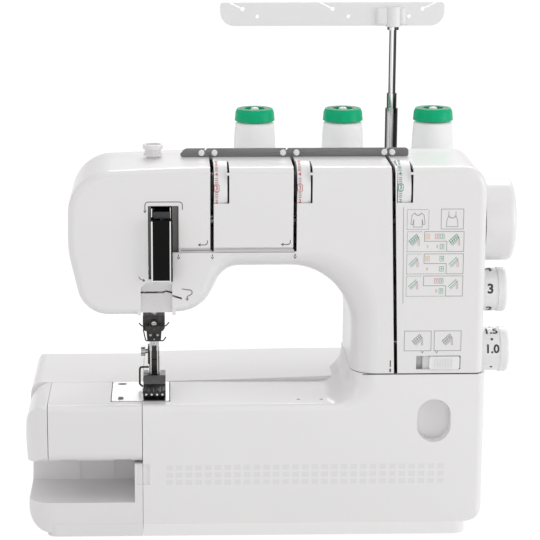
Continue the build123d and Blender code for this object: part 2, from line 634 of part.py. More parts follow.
def needle_crank():
    """Counterweighted crank; its pin stops just short of the rod's eye."""
    x0, x1 = CRANK_X
    disc = rod_x(x0, x1, SHAFT_Y, SHAFT_Z, 19)
    for side in (-19, 19):
        disc -= rod_x(x0 - 1, x1 + 1, SHAFT_Y + side, SHAFT_Z + 8, 11)
    disc -= rod_x(x0 - 1, x1 + 1, SHAFT_Y, SHAFT_Z, SHAFT_R)
    return disc + rod_x(x0 - 4.1, x0 + 1, SHAFT_Y, SHAFT_Z + CRANK_R, 3)


def toothed_pulley(x0, x1, y, z, r, bore, teeth):
    """Timing pulley: a grooved drum between two flanges."""
    body = rod_x(x0 + 1.5, x1 - 1.5, y, z, r)
    for tooth in range(teeth):
        angle = 2 * math.pi * tooth / teeth
        body -= rod_x(x0 + 1, x1 - 1, y + r * math.cos(angle), z + r * math.sin(angle), 1.1)
    body += rod_x(x0, x0 + 1.5, y, z, r - 0.4) + rod_x(x1 - 1.5, x1, y, z, r - 0.4)
    return body - rod_x(x0 - 1, x1 + 1, y, z, bore)


def belt_ring(x0, x1, place_a, radius_a, place_b, radius_b):
    """A belt round two pulleys, drawn as the hull of two circles."""
    def hull(grow):
        first = Pos(*place_a) * Circle(radius_a + grow)
        second = Pos(*place_b) * Circle(radius_b + grow)
        return make_hull((first + second).edges())
    ring = hull(BELT_CLEAR + BELT_T) - hull(BELT_CLEAR)
    side = Plane(origin=(x0, 0, 0), x_dir=(0, 1, 0), z_dir=(1, 0, 0))
    return extrude(side * ring, amount=x1 - x0)


def lower_pulley():
    """Stepped pulley on the lower shaft: timing teeth, a neck and the spoked drive wheel."""
    x0, x1 = DRIVE_X
    y, z = SHAFT_Y, LOWER_SHAFT_Z
    wheel = rod_x(x0, x1, y, z, DRIVE_R) - rod_x(x0 - 1, x1 + 1, y, z, DRIVE_R - 4)
    wheel += rod_x(x0 + 3, x1 - 3, y, z, DRIVE_R - 3) + rod_x(TIMING_X[1] - 1, x1, y, z, 9)
    for spoke in range(4):
        angle = math.pi / 4 + spoke * math.pi / 2
        wheel -= rod_x(x0 - 1, x1 + 1, y + 15 * math.cos(angle), z + 15 * math.sin(angle), 4.5)
    wheel += toothed_pulley(*TIMING_X, y, z, TIMING_R, SHAFT_R, TIMING_TEETH)
    return wheel - rod_x(TIMING_X[0] - 1, x1 + 1, y, z, SHAFT_R)


def motor():
    """Drive motor on two cradle feet, with cooling slots and front boss."""
    can = rod_x(58, 126, MOTOR_Y, MOTOR_Z, 25)
    can = fillet(can.edges(), 3)
    can += rod_x(126, 130, MOTOR_Y, MOTOR_Z, 9)
    for x in (70, 112):
        can += box(x - 4, x + 4, MOTOR_Y - 16, MOTOR_Y + 16, 26, MOTOR_Z - 18)
    for slot in range(8):
        angle = 2 * math.pi * slot / 8
        can -= Pos(64, MOTOR_Y, MOTOR_Z) * Rot(math.degrees(angle), 0, 0) * Pos(0, 0, 25) * Box(8, 4, 5)
    return can - rod_x(100, 131, MOTOR_Y, MOTOR_Z, 3 + RUN_FIT)


def motor_pulley():
    """Motor shaft end and its pulley, one turned piece."""
    x0, x1 = DRIVE_X
    return rod_x(105, x1 + 1, MOTOR_Y, MOTOR_Z, 3) + rod_x(x0, x1, MOTOR_Y, MOTOR_Z, MOTOR_PULLEY_R)


def handwheel():
    """Domed wheel with a hollow back and a rounded rim."""
    x0, x1 = WHEEL_X
    wheel = rod_x(x0, x1, SHAFT_Y, SHAFT_Z, WHEEL_R)
    outer_rim = wheel.edges().filter_by(GeomType.CIRCLE).sort_by(Axis.X)[-1]
    wheel = fillet(outer_rim, 5)
    back = rod_x(x0 - 1, x1 - 4, SHAFT_Y, SHAFT_Z, WHEEL_R - 4) - rod_x(x0 - 2, x1, SHAFT_Y, SHAFT_Z, 11)
    for rib in range(6):
        back -= Pos(x0 + 14, SHAFT_Y, SHAFT_Z) * Rot(60 * rib, 0, 0) * Pos(0, 0, 20) * Box(30, 2.4, 40)
    return wheel - back - rod_x(x0 - 1, x1 - 8, SHAFT_Y, SHAFT_Z, SHAFT_R)


def side_dial(z, x_end, radius):
    """Numbered dial with a raised outer ring and its spindle."""
    dial = rod_x(SIDE_DIAL_X, x_end - SIDE_DIAL_RIM, SHAFT_Y, z, radius - 0.6)
    cap = rod_x(x_end - SIDE_DIAL_RIM, x_end, SHAFT_Y, z, radius)
    cap = fillet(cap.edges().filter_by(GeomType.CIRCLE).sort_by(Axis.X)[-1], 2.5)
    return dial + cap + rod_x(143, SIDE_DIAL_X + 1, SHAFT_Y, z, SPINDLE_R)


def needle_bar():
    """Needle bar with the collar and stud that take the connecting rod."""
    bar = rod_z(166, 276, NEEDLE_X, SHAFT_Y, NEEDLE_BAR_R)
    bar += rod_z(COLLAR_Z - 6, COLLAR_Z + 6, NEEDLE_X, SHAFT_Y, 4.2)
    return bar + rod_x(NEEDLE_X, NEEDLE_X + 8.7, SHAFT_Y, COLLAR_Z, 2.2)


def con_rod():
    """Connecting rod with two eyes; the upper one waits for the crank pin."""
    x0, x1 = NEEDLE_X + 4.5, NEEDLE_X + 8.3
    top = COLLAR_Z + ROD_LENGTH
    rod = box(x0 + 0.6, x1 - 0.6, SHAFT_Y - 2.4, SHAFT_Y + 2.4, COLLAR_Z, top)
    rod += rod_x(x0, x1, SHAFT_Y, top, 6.5) + rod_x(x0, x1, SHAFT_Y, COLLAR_Z, 5)
    rod -= rod_x(x0 - 1, x1 + 1, SHAFT_Y, top, 3 + RUN_FIT)
    return rod - rod_x(x0 - 1, x1 + 1, SHAFT_Y, COLLAR_Z, 2.2 + RUN_FIT)


def take_up_lever():
    """Take-up carried by the needle bar's collar; its black eye block shows in the front slot."""
    arm = box(NEEDLE_X - 3, NEEDLE_X + 2, -66.4, -62.4, COLLAR_Z - 5, 268)
    arm += box(NEEDLE_X - 2, NEEDLE_X + 2, -63, -61, COLLAR_Z - 5, COLLAR_Z + 5)
    arm += box(NEEDLE_X - 3, NEEDLE_X + 2, -80, -64, 262.6, 268)
    arm += box(NEEDLE_X - 3, -80.6, -90, -76, 262.6, 268)
    arm += box(-91.6, -79.0, -101.5, -80, 262.6, 268)
    for x in (NEEDLE_X + 3.2, NEEDLE_X + 9.8):
        arm -= rod_z(255, 275, x, -97.5, 0.9)
    return arm


def take_up_cover():
    """Channel-shaped cover in front of the take-up, standing proud of the head."""
    x0, x1 = -93.2, -77.4
    front_y = FRONT_Y - 7
    outline = [(x0, FRONT_Y + 3), (x0, front_y), (x1, front_y), (x1, FRONT_Y + 3)]
    channel = plan_prism(outline, [0.0, 1.8, 1.8, 0.0], 213.9, 262.2)
    inside = plan_prism(
        [(x0 + 1.2, FRONT_Y + 4), (x0 + 1.2, front_y + 1.2),
         (x1 - 1.2, front_y + 1.2), (x1 - 1.2, FRONT_Y + 4)],
        [0.0, 0.6, 0.6, 0.0], 215.3, 270)
    return channel - inside


def needle_clamp():
    """Two-step clamp block that holds the needles, with their screw bosses."""
    x0, x1 = NEEDLE_X - 9.0, NEEDLE_X + 8.8
    upper = front_face([(x0, 164.5), (x0 + 1.6, 162), (x1 - 1.6, 162), (x1, 164.5), (x1, 175), (x0, 175)],
                       [0.6, 0.6, 0.6, 0.6, 1.0, 1.0], -63)
    clamp = front_prism(upper, -63, -50.8)
    lower = front_face([(x0 + 3.5, 154), (x1 - 3.3, 154), (x1 - 2.5, 163), (x0 + 2.7, 163)],
                       [0.6, 0.6, 0.0, 0.0], -62)
    clamp += front_prism(lower, -62, -51)
    clamp += rod_y(-65.5, -62, NEEDLE_X, 169, 2.6)
    clamp -= box(NEEDLE_X - 0.4, NEEDLE_X + 0.4, -66, -57, 153, 161)
    clamp -= rod_z(160, 180, NEEDLE_X, SHAFT_Y, NEEDLE_BAR_R)
    clamp += rod_z(160, 166, NEEDLE_X, SHAFT_Y, NEEDLE_BAR_R)
    for x in NEEDLES_X:
        clamp -= rod_z(150, 158, x, SHAFT_Y, 1.0)
    return clamp


def needles():
    pair = []
    for x in NEEDLES_X:
        shank = rod_z(144, 158, x, SHAFT_Y, 1.0)
        blade = rod_z(122, 144, x, SHAFT_Y, 0.6)
        point = Pos(x, SHAFT_Y, 119.5) * Cone(0.05, 0.6, 5)
        pair.append(shank + blade + point)
    return Compound(children=pair)


def bent_wire(points, radii, r):
    path = FilletPolyline(*points, radius=radii)
    return sweep(Plane(path @ 0, z_dir=path % 0) * Circle(r), path=path)


def clamp_wires():
    """Two bent thread guides: horns beside the clamp and a hook below it."""
    front_y = -67.0
    x = NEEDLE_X
    horns = bent_wire(
        [(x - 12.0, front_y, 169.8), (x - 9.7, front_y, 167.4), (x + 9.7, front_y, 167.4),
         (x + 12.2, front_y, 170.4)],
        [1.6, 1.6], 0.5)
    horns += rod_y(front_y, -62.5, x - 4.5, 167.4, 0.5) + rod_y(front_y, -62.5, x + 4.5, 167.4, 0.5)
    hook = bent_wire(
        [(x - 7.9, -62.8, 166), (x - 8.5, front_y, 164), (x - 6.7, front_y, 155.0), (x + 7.5, front_y, 155.0),
         (x + 9.7, front_y, 158.1)],
        [1.2, 1.6, 1.6], 0.5)
    return Compound(children=[horns, hook])


def presser_bar():
    """Presser bar with its spring collar and the lifter bracket."""
    bar = rod_z(128, 282, NEEDLE_X, PRESSER_Y, PRESSER_BAR_R)
    bar += rod_z(249, 252, NEEDLE_X, PRESSER_Y, 6)
    bracket = box(NEEDLE_X - 3.4, NEEDLE_X + 3.4, PRESSER_Y, -17, 214, 218)
    bracket += box(NEEDLE_X - 3.4, NEEDLE_X + 3.4, -22, -17, 210.4, 216)
    return bar + bracket + rod_z(212, 220, NEEDLE_X, PRESSER_Y, 5)


def presser_spring():
    """Compression spring between the bar's collar and the pressure knob."""
    turns, wire_r, coil_r = 7, 0.6, 5.1
    low, high = 252.7, 283.2
    helix = Pos(NEEDLE_X, PRESSER_Y, low) * Helix((high - low) / turns, high - low, coil_r)
    return sweep(Plane(helix @ 0, z_dir=helix % 0) * Circle(wire_r), path=helix)


def pressure_knob():
    """Waisted knob on the head, with a hollow stem that presses on the spring."""
    knob = rod_z(303, 304.6, NEEDLE_X, PRESSER_Y, 7.6) + rod_z(303, 310, NEEDLE_X, PRESSER_Y, 6.5)
    top = rod_z(308.2, 311.8, NEEDLE_X, PRESSER_Y, 8.2)
    knob += fillet(top.edges().filter_by(GeomType.CIRCLE).sort_by(Axis.Z)[-1], 0.8)
    knob -= rod_z(310.4, 315, NEEDLE_X, PRESSER_Y, 6.4)
    knob += rod_z(284, 303, NEEDLE_X, PRESSER_Y, 4.9) + rod_z(295, 299, NEEDLE_X, PRESSER_Y, 4.9)
    knob += rod_z(284, 285.5, NEEDLE_X, PRESSER_Y, 6.2)
    return knob - rod_z(280, 298, NEEDLE_X, PRESSER_Y, 4.0)


def foot_lifter():
    """Lever behind the presser bar; its handle comes out at the back of the head."""
    lever = side_prism(
        [(LIFTER_Y - 4, LIFTER_Z - 4), (LIFTER_Y + 4, LIFTER_Z - 4), (-4, LIFTER_Z - 4), (26, LIFTER_Z - 9),
         (27, LIFTER_Z - 4), (-4, LIFTER_Z + 2), (-16, LIFTER_Z + 5.2), (LIFTER_Y - 4, LIFTER_Z + 4)],
        [3.0, 0.0, 8.0, 2.0, 2.0, 8.0, 3.0, 3.0], NEEDLE_X - 3.2, NEEDLE_X + 3.2)
    return lever + rod_x(NEEDLE_X - 9.4, NEEDLE_X + 9.4, LIFTER_Y, LIFTER_Z, 2.0)


def foot_holder():
    """Ankle clamped to the presser bar, bored for the foot's pin."""
    x = NEEDLE_X
    ankle = box(x - 4.1, x + 4.1, -50, -38, 117, 134)
    ankle -= rod_z(127.9, 140, x, PRESSER_Y, PRESSER_BAR_R)
    ankle += box(x - 5.3, x - 3.6, -47, -39, 130, 145) + box(x - 4.0, x + 4.0, -47.9, -46.6, 130, 145)
    wire = bent_wire(
        [(x - 4.5, -47.5, 127.6), (x - 12, -47.5, 127.6), (x - 12, -53, 114.6), (x - 9.6, -56, 113.6)],
        [2.0, 2.4], 0.8)
    ankle -= rod_x(-110, -80, FOOT_PIN_Y, FOOT_PIN_Z, 1.2 + RUN_FIT)
    return ankle + wire


def foot_thumb_screw():
    """Knurled screw that clamps the ankle on the bar."""
    x = NEEDLE_X
    head = rod_x(x - 11, x - 7.3, PRESSER_Y, 140, 4.2)
    for notch in range(12):
        angle = 2 * math.pi * notch / 12
        head -= rod_x(x - 12.5, x - 6.5, PRESSER_Y + 4.4 * math.cos(angle), 140 + 4.4 * math.sin(angle), 0.6)
    return head + rod_x(x - 7.5, x - 5.3, PRESSER_Y, 140, 2.0)


def presser_foot():
    """Cover-stitch foot: a forked steel block and a grooved, upturned toe."""
    side = [(-87.5, 115.5), (-82, 111.3), (-40, 111.3), (-40, 114),
            (-43.5, 124), (-60, 124), (-66, 117.6), (-86, 118.6)]
    foot = side_prism(side, [1.5, 6.0, 0.5, 0.5, 1.0, 1.0, 2.0, 1.2], NEEDLE_X - 8.9, NEEDLE_X + 9.1)
    foot -= box(NEEDLE_X - 4.8, NEEDLE_X + 4.8, -51.5, -30, 113.2, 130)
    foot -= box(NEEDLE_X - 4.1, NEEDLE_X + 4.1, -59.2, -54.8, 105, 130)
    for x in (NEEDLE_X - 4.9, NEEDLE_X + 0.1, NEEDLE_X + 5.1):
        foot -= rod_y(-90, -66, x, 119.4, 1.7)
    return foot + rod_x(NEEDLE_X - 8.5, NEEDLE_X + 8.5, FOOT_PIN_Y, FOOT_PIN_Z, 1.2)


def looper():
    """Rocker shaft along the arm's depth with the curved looper blade on its arm."""
    shaft = rod_y(-66, -15, ROCKER_X, ROCKER_Z, ROCKER_R)
    arm = front_face(
        [(-66, 61), (-55, 61), (-54, 74), (-66, 98), (-72, 104), (-88, 105.4), (-88, 103.6), (-75, 100.5)],
        [4.0, 4.0, 6.0, 4.0, 3.0, 0.5, 0.5, 4.0], -56)
    blade = front_prism(arm, -56, -54.4)
    return shaft + blade + rod_y(-58, -52, ROCKER_X, ROCKER_Z, 7)


def feed_dog(y_range):
    """Three rows of saw teeth on a feed bar."""
    y0, y1 = y_range
    dog = box(NEEDLE_X - 7.5, NEEDLE_X + 7.5, y0 + 0.5, y1 - 0.5, 90, 104)
    count = 6
    pitch = (y1 - y0) / count
    for x in FEED_ROWS:
        row = box(NEEDLE_X + x - 0.9, NEEDLE_X + x + 0.9, y0, y1, 103, 109.2)
        for tooth in range(count):
            y = y0 + pitch * tooth
            row += side_prism([(y, 109), (y + pitch, 109), (y + pitch * 0.8, 110.3)], [0.0, 0.0, 0.0],
                              NEEDLE_X + x - 0.9, NEEDLE_X + x + 0.9)
        dog += row
    return dog


def tension_dial(slot_x):
    """Numbered tension drum on its axle, with finger ribs round the right-hand edge."""
    x0 = slot_x + SLOT_W / 2 + 0.2
    x1 = x0 + DIAL_W
    drum = rod_x(x0, x1 - 2.5, DIAL_Y, DIAL_Z, DIAL_R)
    drum += rod_x(x1 - 2.5, x1, DIAL_Y, DIAL_Z, DIAL_R - 0.4)
    drum -= rod_x(x0 + 2, x1 + 1, DIAL_Y, DIAL_Z, DIAL_R - 3)
    drum += rod_x(x0, x1, DIAL_Y, DIAL_Z, 6)
    return drum - rod_x(x0 - 1, x1 + 1, DIAL_Y, DIAL_Z, AXLE_R + RUN_FIT)


def tension_axles():
    axles = [rod_x(x - 9, x + SLOT_W / 2 + DIAL_W + 2, DIAL_Y, DIAL_Z, AXLE_R) for x in SLOT_X]
    return Compound(children=axles)


def tension_discs():
    """A pair of dished discs in each thread slot."""
    discs = []
    for x in SLOT_X:
        for side in (-1, 1):
            middle = x + side * 0.8
            disc = rod_x(middle - 0.4, middle + 0.4, DIAL_Y, DIAL_Z, 12)
            discs.append(disc - rod_x(x - 3, x + 3, DIAL_Y, DIAL_Z, AXLE_R))
    return Compound(children=discs)


def selector_slider():
    """Chaining selector: a ribbed thumb piece on a sliding back plate."""
    z0, z1 = 139.2, 149.5
    knob = box(127, 151, FRONT_Y - 1.5, FRONT_Y + 4, z0, z1)
    knob = fillet(knob.edges().filter_by(Axis.Y), 1.5)
    for rib in range(7):
        x = 132 + 2.2 * rib
        knob += box(x - 0.4, x + 0.4, FRONT_Y - 2.1, FRONT_Y - 1, z0 + 1.5, z1 - 1.5)
    return knob + box(122, 158, FRONT_Y + 3.2, FRONT_Y + 6, 136, 152)


def top_thread_guide():
    """Bent steel strip on the arm, with slits for the threads."""
    face = front_face([(-72.4, 302), (113.2, 302), (113.2, 309), (-66.4, 309)], [2.0, 2.0, 3.0, 5.0], -48)
    strip = front_prism(face, -48, -46.8)
    strip += box(-68, 93, -48, -40, 302, 303)
    for x in (-49.3, 15.7, 96.2):
        strip -= Pos(x, -47, 309) * Rot(0, 35, 0) * Box(1.2, 6, 4)
    return strip


def guide_discs():
    """Small round thread tension buttons on the strip."""
    discs = []
    for x in GUIDE_DISC_X:
        disc = rod_y(-51, -48, x, 305.6, 2.4)
        discs.append(fillet(disc.edges().sort_by(Axis.Y)[0], 0.8))
    return Compound(children=discs)


def spool_tray():
    """Tray behind the arm with a rim, spool pins, the pole's socket and two tongues."""
    x0, x1, y0, y1 = TRAY
    corners = [(x0, y0), (x1, y0), (x1, y1), (x0, y1)]
    inner = [(x0 + 3, y0 + 3), (x1 - 3, y0 + 3), (x1 - 3, y1 - 3), (x0 + 3, y1 - 3)]
    tray = plan_prism(corners, [6.0, 20.0, 20.0, 20.0], TRAY_TOP_Z - 7, TRAY_TOP_Z + 3)
    tray -= plan_prism(inner, [3.0, 17.0, 17.0, 17.0], TRAY_TOP_Z - 2, TRAY_TOP_Z + 4)
    for x in (-20.0, 60.0, 128.0):
        tray -= box(x - 24, x + 24, y0 + 3, y1 - 3, TRAY_TOP_Z - 8, TRAY_TOP_Z - 5) & plan_prism(
            inner, [3.0, 17.0, 17.0, 17.0], 0, 300)
    for x in (-24.0, 132.0):
        tray += box(x - 18, x + 18, CASTING_Y[1], y0 + 12, 250, 258.5)
    for x in SPOOL_X:
        tray += rod_z(TRAY_TOP_Z - 3, TRAY_TOP_Z + 2, x, SPOOL_Y, 14)
        pin = rod_z(TRAY_TOP_Z, SPOOL_TOP_Z - 4, x, SPOOL_Y, 4)
        tray += fillet(pin.edges().sort_by(Axis.Z)[-1], 1.5)
    tray += rod_z(TRAY_TOP_Z - 3, TRAY_TOP_Z + 12, POLE_X, POLE_Y, 9)
    return tray - rod_z(TRAY_TOP_Z - 4, TRAY_TOP_Z + 20, POLE_X, POLE_Y, 5.5)


def revolved(points, x, y):
    """Solid of revolution about a vertical axis, from (radius, z) corners."""
    outline = Polyline(*[(r, 0, z) for r, z in points], close=True)
    return Pos(x, y, 0) * revolve(make_face(outline), axis=Axis.Z)


def spool_cores():
    """Spool bobbins: a tube with a flange below and a stepped cap on top."""
    low = TRAY_TOP_Z + 2.2
    top = SPOOL_TOP_Z
    profile = [(5, low), (18, low), (18, low + 2), (9, low + 4), (9, top - 11), (17, top - 10),
               (16.4, top - 3), (15, top), (8.5, top), (8.5, top - 5), (5, top - 5)]
    return Compound(children=[revolved(profile, x, SPOOL_Y) for x in SPOOL_X])


def spool_threads():
    """Wound thread: a packed body that narrows a little towards the top."""
    low = TRAY_TOP_Z + 6.2
    top = SPOOL_TOP_Z - 11.2
    profile = [(9, low), (17.2, low), (18.6, low + 3), (18.0, low + 24), (17.0, top - 2),
               (15.8, top), (9, top)]
    return Compound(children=[revolved(profile, x, SPOOL_Y) for x in SPOOL_X])


def pole_lower():
    tube = rod_z(TRAY_TOP_Z - 3, 322, POLE_X, POLE_Y, 5.5)
    return tube - rod_z(TRAY_TOP_Z - 1, 330, POLE_X, POLE_Y, 4.3 + RUN_FIT)


def pole_middle():
    tube = rod_z(276, 335, POLE_X, POLE_Y, 4.3)
    return tube - rod_z(270, 340, POLE_X, POLE_Y, 3.1 + RUN_FIT)


def pole_upper():
    rod = rod_z(304, 407, POLE_X, POLE_Y, 3.1)
    return rod + rod_z(389.5, 392, POLE_X, POLE_Y, 5)


def guide_bar():
    """Thread guide plate across the pole, with eyelets, slits and a hub."""
    z0 = 393.0
    plate = front_face([(-34.7, GUIDE_BAR_TOP_Z), (157, GUIDE_BAR_TOP_Z), (157, z0), (-34.7, z0)],
                       [3.0, 3.0, 12.0, 12.0], POLE_Y - 1.3)
    bar = front_prism(plate, POLE_Y - 1.3, POLE_Y + 1.3)
    bar += rod_z(z0 - 0.7, GUIDE_BAR_TOP_Z - 4, POLE_X, POLE_Y, 6.5)
    for x in (-3.0, 75.0, 127.0):
        bar -= rod_y(POLE_Y - 5, POLE_Y + 5, x, 401, 1.6)
    for x, side in ((-27.0, 1), (50.0, 1), (150.0, -1)):
        bar -= Pos(x + side * 5.5, POLE_Y, 410.4) * Rot(0, side * 26.6, 0) * Box(14.0, 8, 1.3)
        bar -= rod_y(POLE_Y - 5, POLE_Y + 5, x + side * 11.5, 407.4, 1.8)
    return bar - rod_z(380, 407.3, POLE_X, POLE_Y, 3.1 + RUN_FIT)


def power_unit():
    """Moulded block behind the right flank: mains inlet with three pins, and the switch well above it."""
    unit = box(152, BASE_RIGHT_X - WALL, 6, 38, 38, 96)
    unit += box(164, BASE_RIGHT_X - 0.6, 8.2, 35.8, 40.2, 61.8)
    unit -= box(156, 180, 11, 33, 43, 59)
    for y in (15.0, 22.0, 29.0):
        unit += box(155, 166, y - 1, y + 1, 49, 53)
    unit -= box(155, 180, 14.2, 29.8, 67.8, 94.2)
    return unit - rod_y(10, 34, BASE_RIGHT_X - 5, 81, 1.5 + RUN_FIT)


def power_switch():
    """Rocker switch in its window, pivoted along the machine's depth."""
    x = BASE_RIGHT_X
    rocker = front_face([(x - 8, 69.6), (x - 1.2, 69.6), (x + 0.2, 81), (x + 2.0, 92.4), (x - 8, 92.4)],
                        [0.5, 0.8, 0.0, 0.8, 0.5], 14.6)
    return front_prism(rocker, 14.6, 29.4) + rod_y(12.6, 31.4, x - 5, 81, 1.5)


def build():
    """Every node of the machine by name."""
    front_cover, column_cover, rear_cover = arm_covers()
    base_front, base_rear = base_shells()
    arm_shell, end_cap, looper_cover = free_arm()
    shaft = (SHAFT_Y, SHAFT_Z)
    lower = (SHAFT_Y, LOWER_SHAFT_Z)
    nodes = {
        "arm_front_cover": front_cover,
        "column_front_cover": column_cover,
        "arm_rear_cover": rear_cover,
        "base_front_shell": base_front,
        "base_rear_shell": base_rear,
        "free_arm_shell": arm_shell,
        "free_arm_end_cap": end_cap,
        "looper_cover": looper_cover,
        "extension_table": extension_table(),
        "base_plate": base_plate(),
        "rubber_feet": rubber_feet(),
        "needle_plate": needle_plate(),
        "machine_frame": machine_frame(),
        "shaft_bushes": shaft_bushes(),
        "upper_shaft": upper_shaft(),
        "needle_crank": needle_crank(),
        "upper_timing_pulley": toothed_pulley(*TIMING_X, *shaft, TIMING_R, SHAFT_R, TIMING_TEETH),
        "timing_belt": belt_ring(*TIMING_X, shaft, TIMING_R, lower, TIMING_R),
        "lower_shaft": rod_x(LOWER_LUGS[0] - 9, DRIVE_X[1] + 2, *lower, SHAFT_R),
        "lower_pulley": lower_pulley(),
        "drive_belt": belt_ring(*DRIVE_X, lower, DRIVE_R, (MOTOR_Y, MOTOR_Z), MOTOR_PULLEY_R),
        "motor": motor(),
        "motor_pulley": motor_pulley(),
        "handwheel": handwheel(),
        "stitch_length_dial": side_dial(LENGTH_DIAL_Z, 192.5, SIDE_DIAL_R),
        "differential_dial": side_dial(FEED_DIAL_Z, 195.5, SIDE_DIAL_R + 0.4),
        "selector_slider": selector_slider(),
        "needle_bar": needle_bar(),
        "con_rod": con_rod(),
        "take_up_lever": take_up_lever(),
        "take_up_cover": take_up_cover(),
        "needle_clamp": needle_clamp(),
        "needles": needles(),
        "clamp_wires": clamp_wires(),
        "presser_bar": presser_bar(),
        "presser_spring": presser_spring(),
        "pressure_knob": pressure_knob(),
        "foot_lifter": foot_lifter(),
        "foot_holder": foot_holder(),
        "foot_thumb_screw": foot_thumb_screw(),
        "presser_foot": presser_foot(),
        "looper": looper(),
        "differential_feed_dog": feed_dog(DIFF_FEED_Y),
        "main_feed_dog": feed_dog(MAIN_FEED_Y),
        "tension_axles": tension_axles(),
        "tension_discs": tension_discs(),
        "top_thread_guide": top_thread_guide(),
        "guide_discs": guide_discs(),
        "spool_tray": spool_tray(),
        "spool_cores": spool_cores(),
        "spool_threads": spool_threads(),
        "pole_lower": pole_lower(),
        "pole_middle": pole_middle(),
        "pole_upper": pole_upper(),
        "guide_bar": guide_bar(),
        "power_unit": power_unit(),
        "power_switch": power_switch(),
    }
    for name, x in zip(("left", "middle", "right"), SLOT_X):
        nodes[f"tension_dial_{name}"] = tension_dial(x)
    return nodes


if __name__ == "__main__":
    os.makedirs("parts", exist_ok=True)
    for node, solid in build().items():
        export_step(solid, f"parts/{node}.step")
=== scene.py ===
import math

import bmesh
import bpy
from mathutils import Matrix, Vector


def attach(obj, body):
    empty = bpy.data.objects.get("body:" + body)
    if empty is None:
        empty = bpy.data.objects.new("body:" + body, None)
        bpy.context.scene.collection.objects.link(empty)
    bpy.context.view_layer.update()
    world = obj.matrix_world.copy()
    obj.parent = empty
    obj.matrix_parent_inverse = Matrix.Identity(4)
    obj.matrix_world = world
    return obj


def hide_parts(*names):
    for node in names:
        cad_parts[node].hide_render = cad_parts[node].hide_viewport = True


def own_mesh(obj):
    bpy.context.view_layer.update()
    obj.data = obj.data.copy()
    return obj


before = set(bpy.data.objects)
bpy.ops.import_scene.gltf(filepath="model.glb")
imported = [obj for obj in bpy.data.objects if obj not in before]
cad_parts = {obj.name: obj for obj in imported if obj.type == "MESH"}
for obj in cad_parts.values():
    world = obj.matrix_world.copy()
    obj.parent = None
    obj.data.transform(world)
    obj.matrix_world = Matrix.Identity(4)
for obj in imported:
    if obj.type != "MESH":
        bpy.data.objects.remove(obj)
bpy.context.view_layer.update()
scene = bpy.context.scene
MM = 0.001
FRONT = -100.0      # the flat front of the covers, in millimetres
INK = 0.12          # how far print stands off its face
SPOOL_X = (-6.0, 69.0, 146.0)
SPOOL_Y = 55.0
SIDE_DIAL_Y = -57.0


# Shared surface effects

def new_group(name, inputs, outputs):
    """A shader node group with named sockets. Returns the tree and its input and output nodes."""
    tree = bpy.data.node_groups.new(name, "ShaderNodeTree")
    for label, kind, value in inputs:
        socket = tree.interface.new_socket(label, in_out="INPUT", socket_type=kind)
        socket.default_value = value
    for label, kind in outputs:
        tree.interface.new_socket(label, in_out="OUTPUT", socket_type=kind)
    return tree, tree.nodes.new("NodeGroupInput"), tree.nodes.new("NodeGroupOutput")


def noise_node(tree, vector, scale, detail):
    node = tree.nodes.new("ShaderNodeTexNoise")
    node.inputs["Detail"].default_value = detail
    tree.links.new(vector, node.inputs["Vector"])
    if isinstance(scale, (int, float)):
        node.inputs["Scale"].default_value = scale
    else:
        tree.links.new(scale, node.inputs["Scale"])
    return node


def math_node(tree, operation, first, second):
    node = tree.nodes.new("ShaderNodeMath")
    node.operation = operation
    for socket, value in zip(node.inputs, (first, second)):
        if isinstance(value, (int, float)):
            socket.default_value = value
        else:
            tree.links.new(value, socket)
    return node.outputs[0]


def mix_colour(tree, factor, first, second):
    node = tree.nodes.new("ShaderNodeMix")
    node.data_type = "RGBA"
    for socket, value in zip((node.inputs[0], node.inputs[6], node.inputs[7]), (factor, first, second)):
        if isinstance(value, (int, float, tuple)):
            socket.default_value = value
        else:
            tree.links.new(value, socket)
    return node.outputs[2]


def moulded_skin_group():
    """Moulded plastic: broad colour drift, uneven gloss and the tool's fine grain."""
    tree, start, end = new_group(
        "moulded_skin",
        [("Colour", "NodeSocketColor", (0.8, 0.8, 0.8, 1)), ("Drift", "NodeSocketColor", (0.7, 0.7, 0.7, 1)),
         ("Roughness", "NodeSocketFloat", 0.3), ("Unevenness", "NodeSocketFloat", 0.08),
         ("Grain Size", "NodeSocketFloat", 900.0), ("Grain Depth", "NodeSocketFloat", 0.05)],
        [("Colour", "NodeSocketColor"), ("Roughness", "NodeSocketFloat"), ("Normal", "NodeSocketVector")])
    place = tree.nodes.new("ShaderNodeTexCoord").outputs["Object"]
    broad = noise_node(tree, place, 9.0, 2)
    fine = noise_node(tree, place, start.outputs["Grain Size"], 3)
    colour = mix_colour(tree, math_node(tree, "MULTIPLY", broad.outputs["Fac"], 0.55),
                        start.outputs["Colour"], start.outputs["Drift"])
    swing = math_node(tree, "MULTIPLY", math_node(tree, "SUBTRACT", broad.outputs["Fac"], 0.5),
                      start.outputs["Unevenness"])
    bump = tree.nodes.new("ShaderNodeBump")
    bump.inputs["Distance"].default_value = 0.0002
    tree.links.new(start.outputs["Grain Depth"], bump.inputs["Strength"])
    tree.links.new(fine.outputs["Fac"], bump.inputs["Height"])
    tree.links.new(colour, end.inputs["Colour"])
    tree.links.new(math_node(tree, "ADD", start.outputs["Roughness"], swing), end.inputs["Roughness"])
    tree.links.new(bump.outputs["Normal"], end.inputs["Normal"])
    return tree


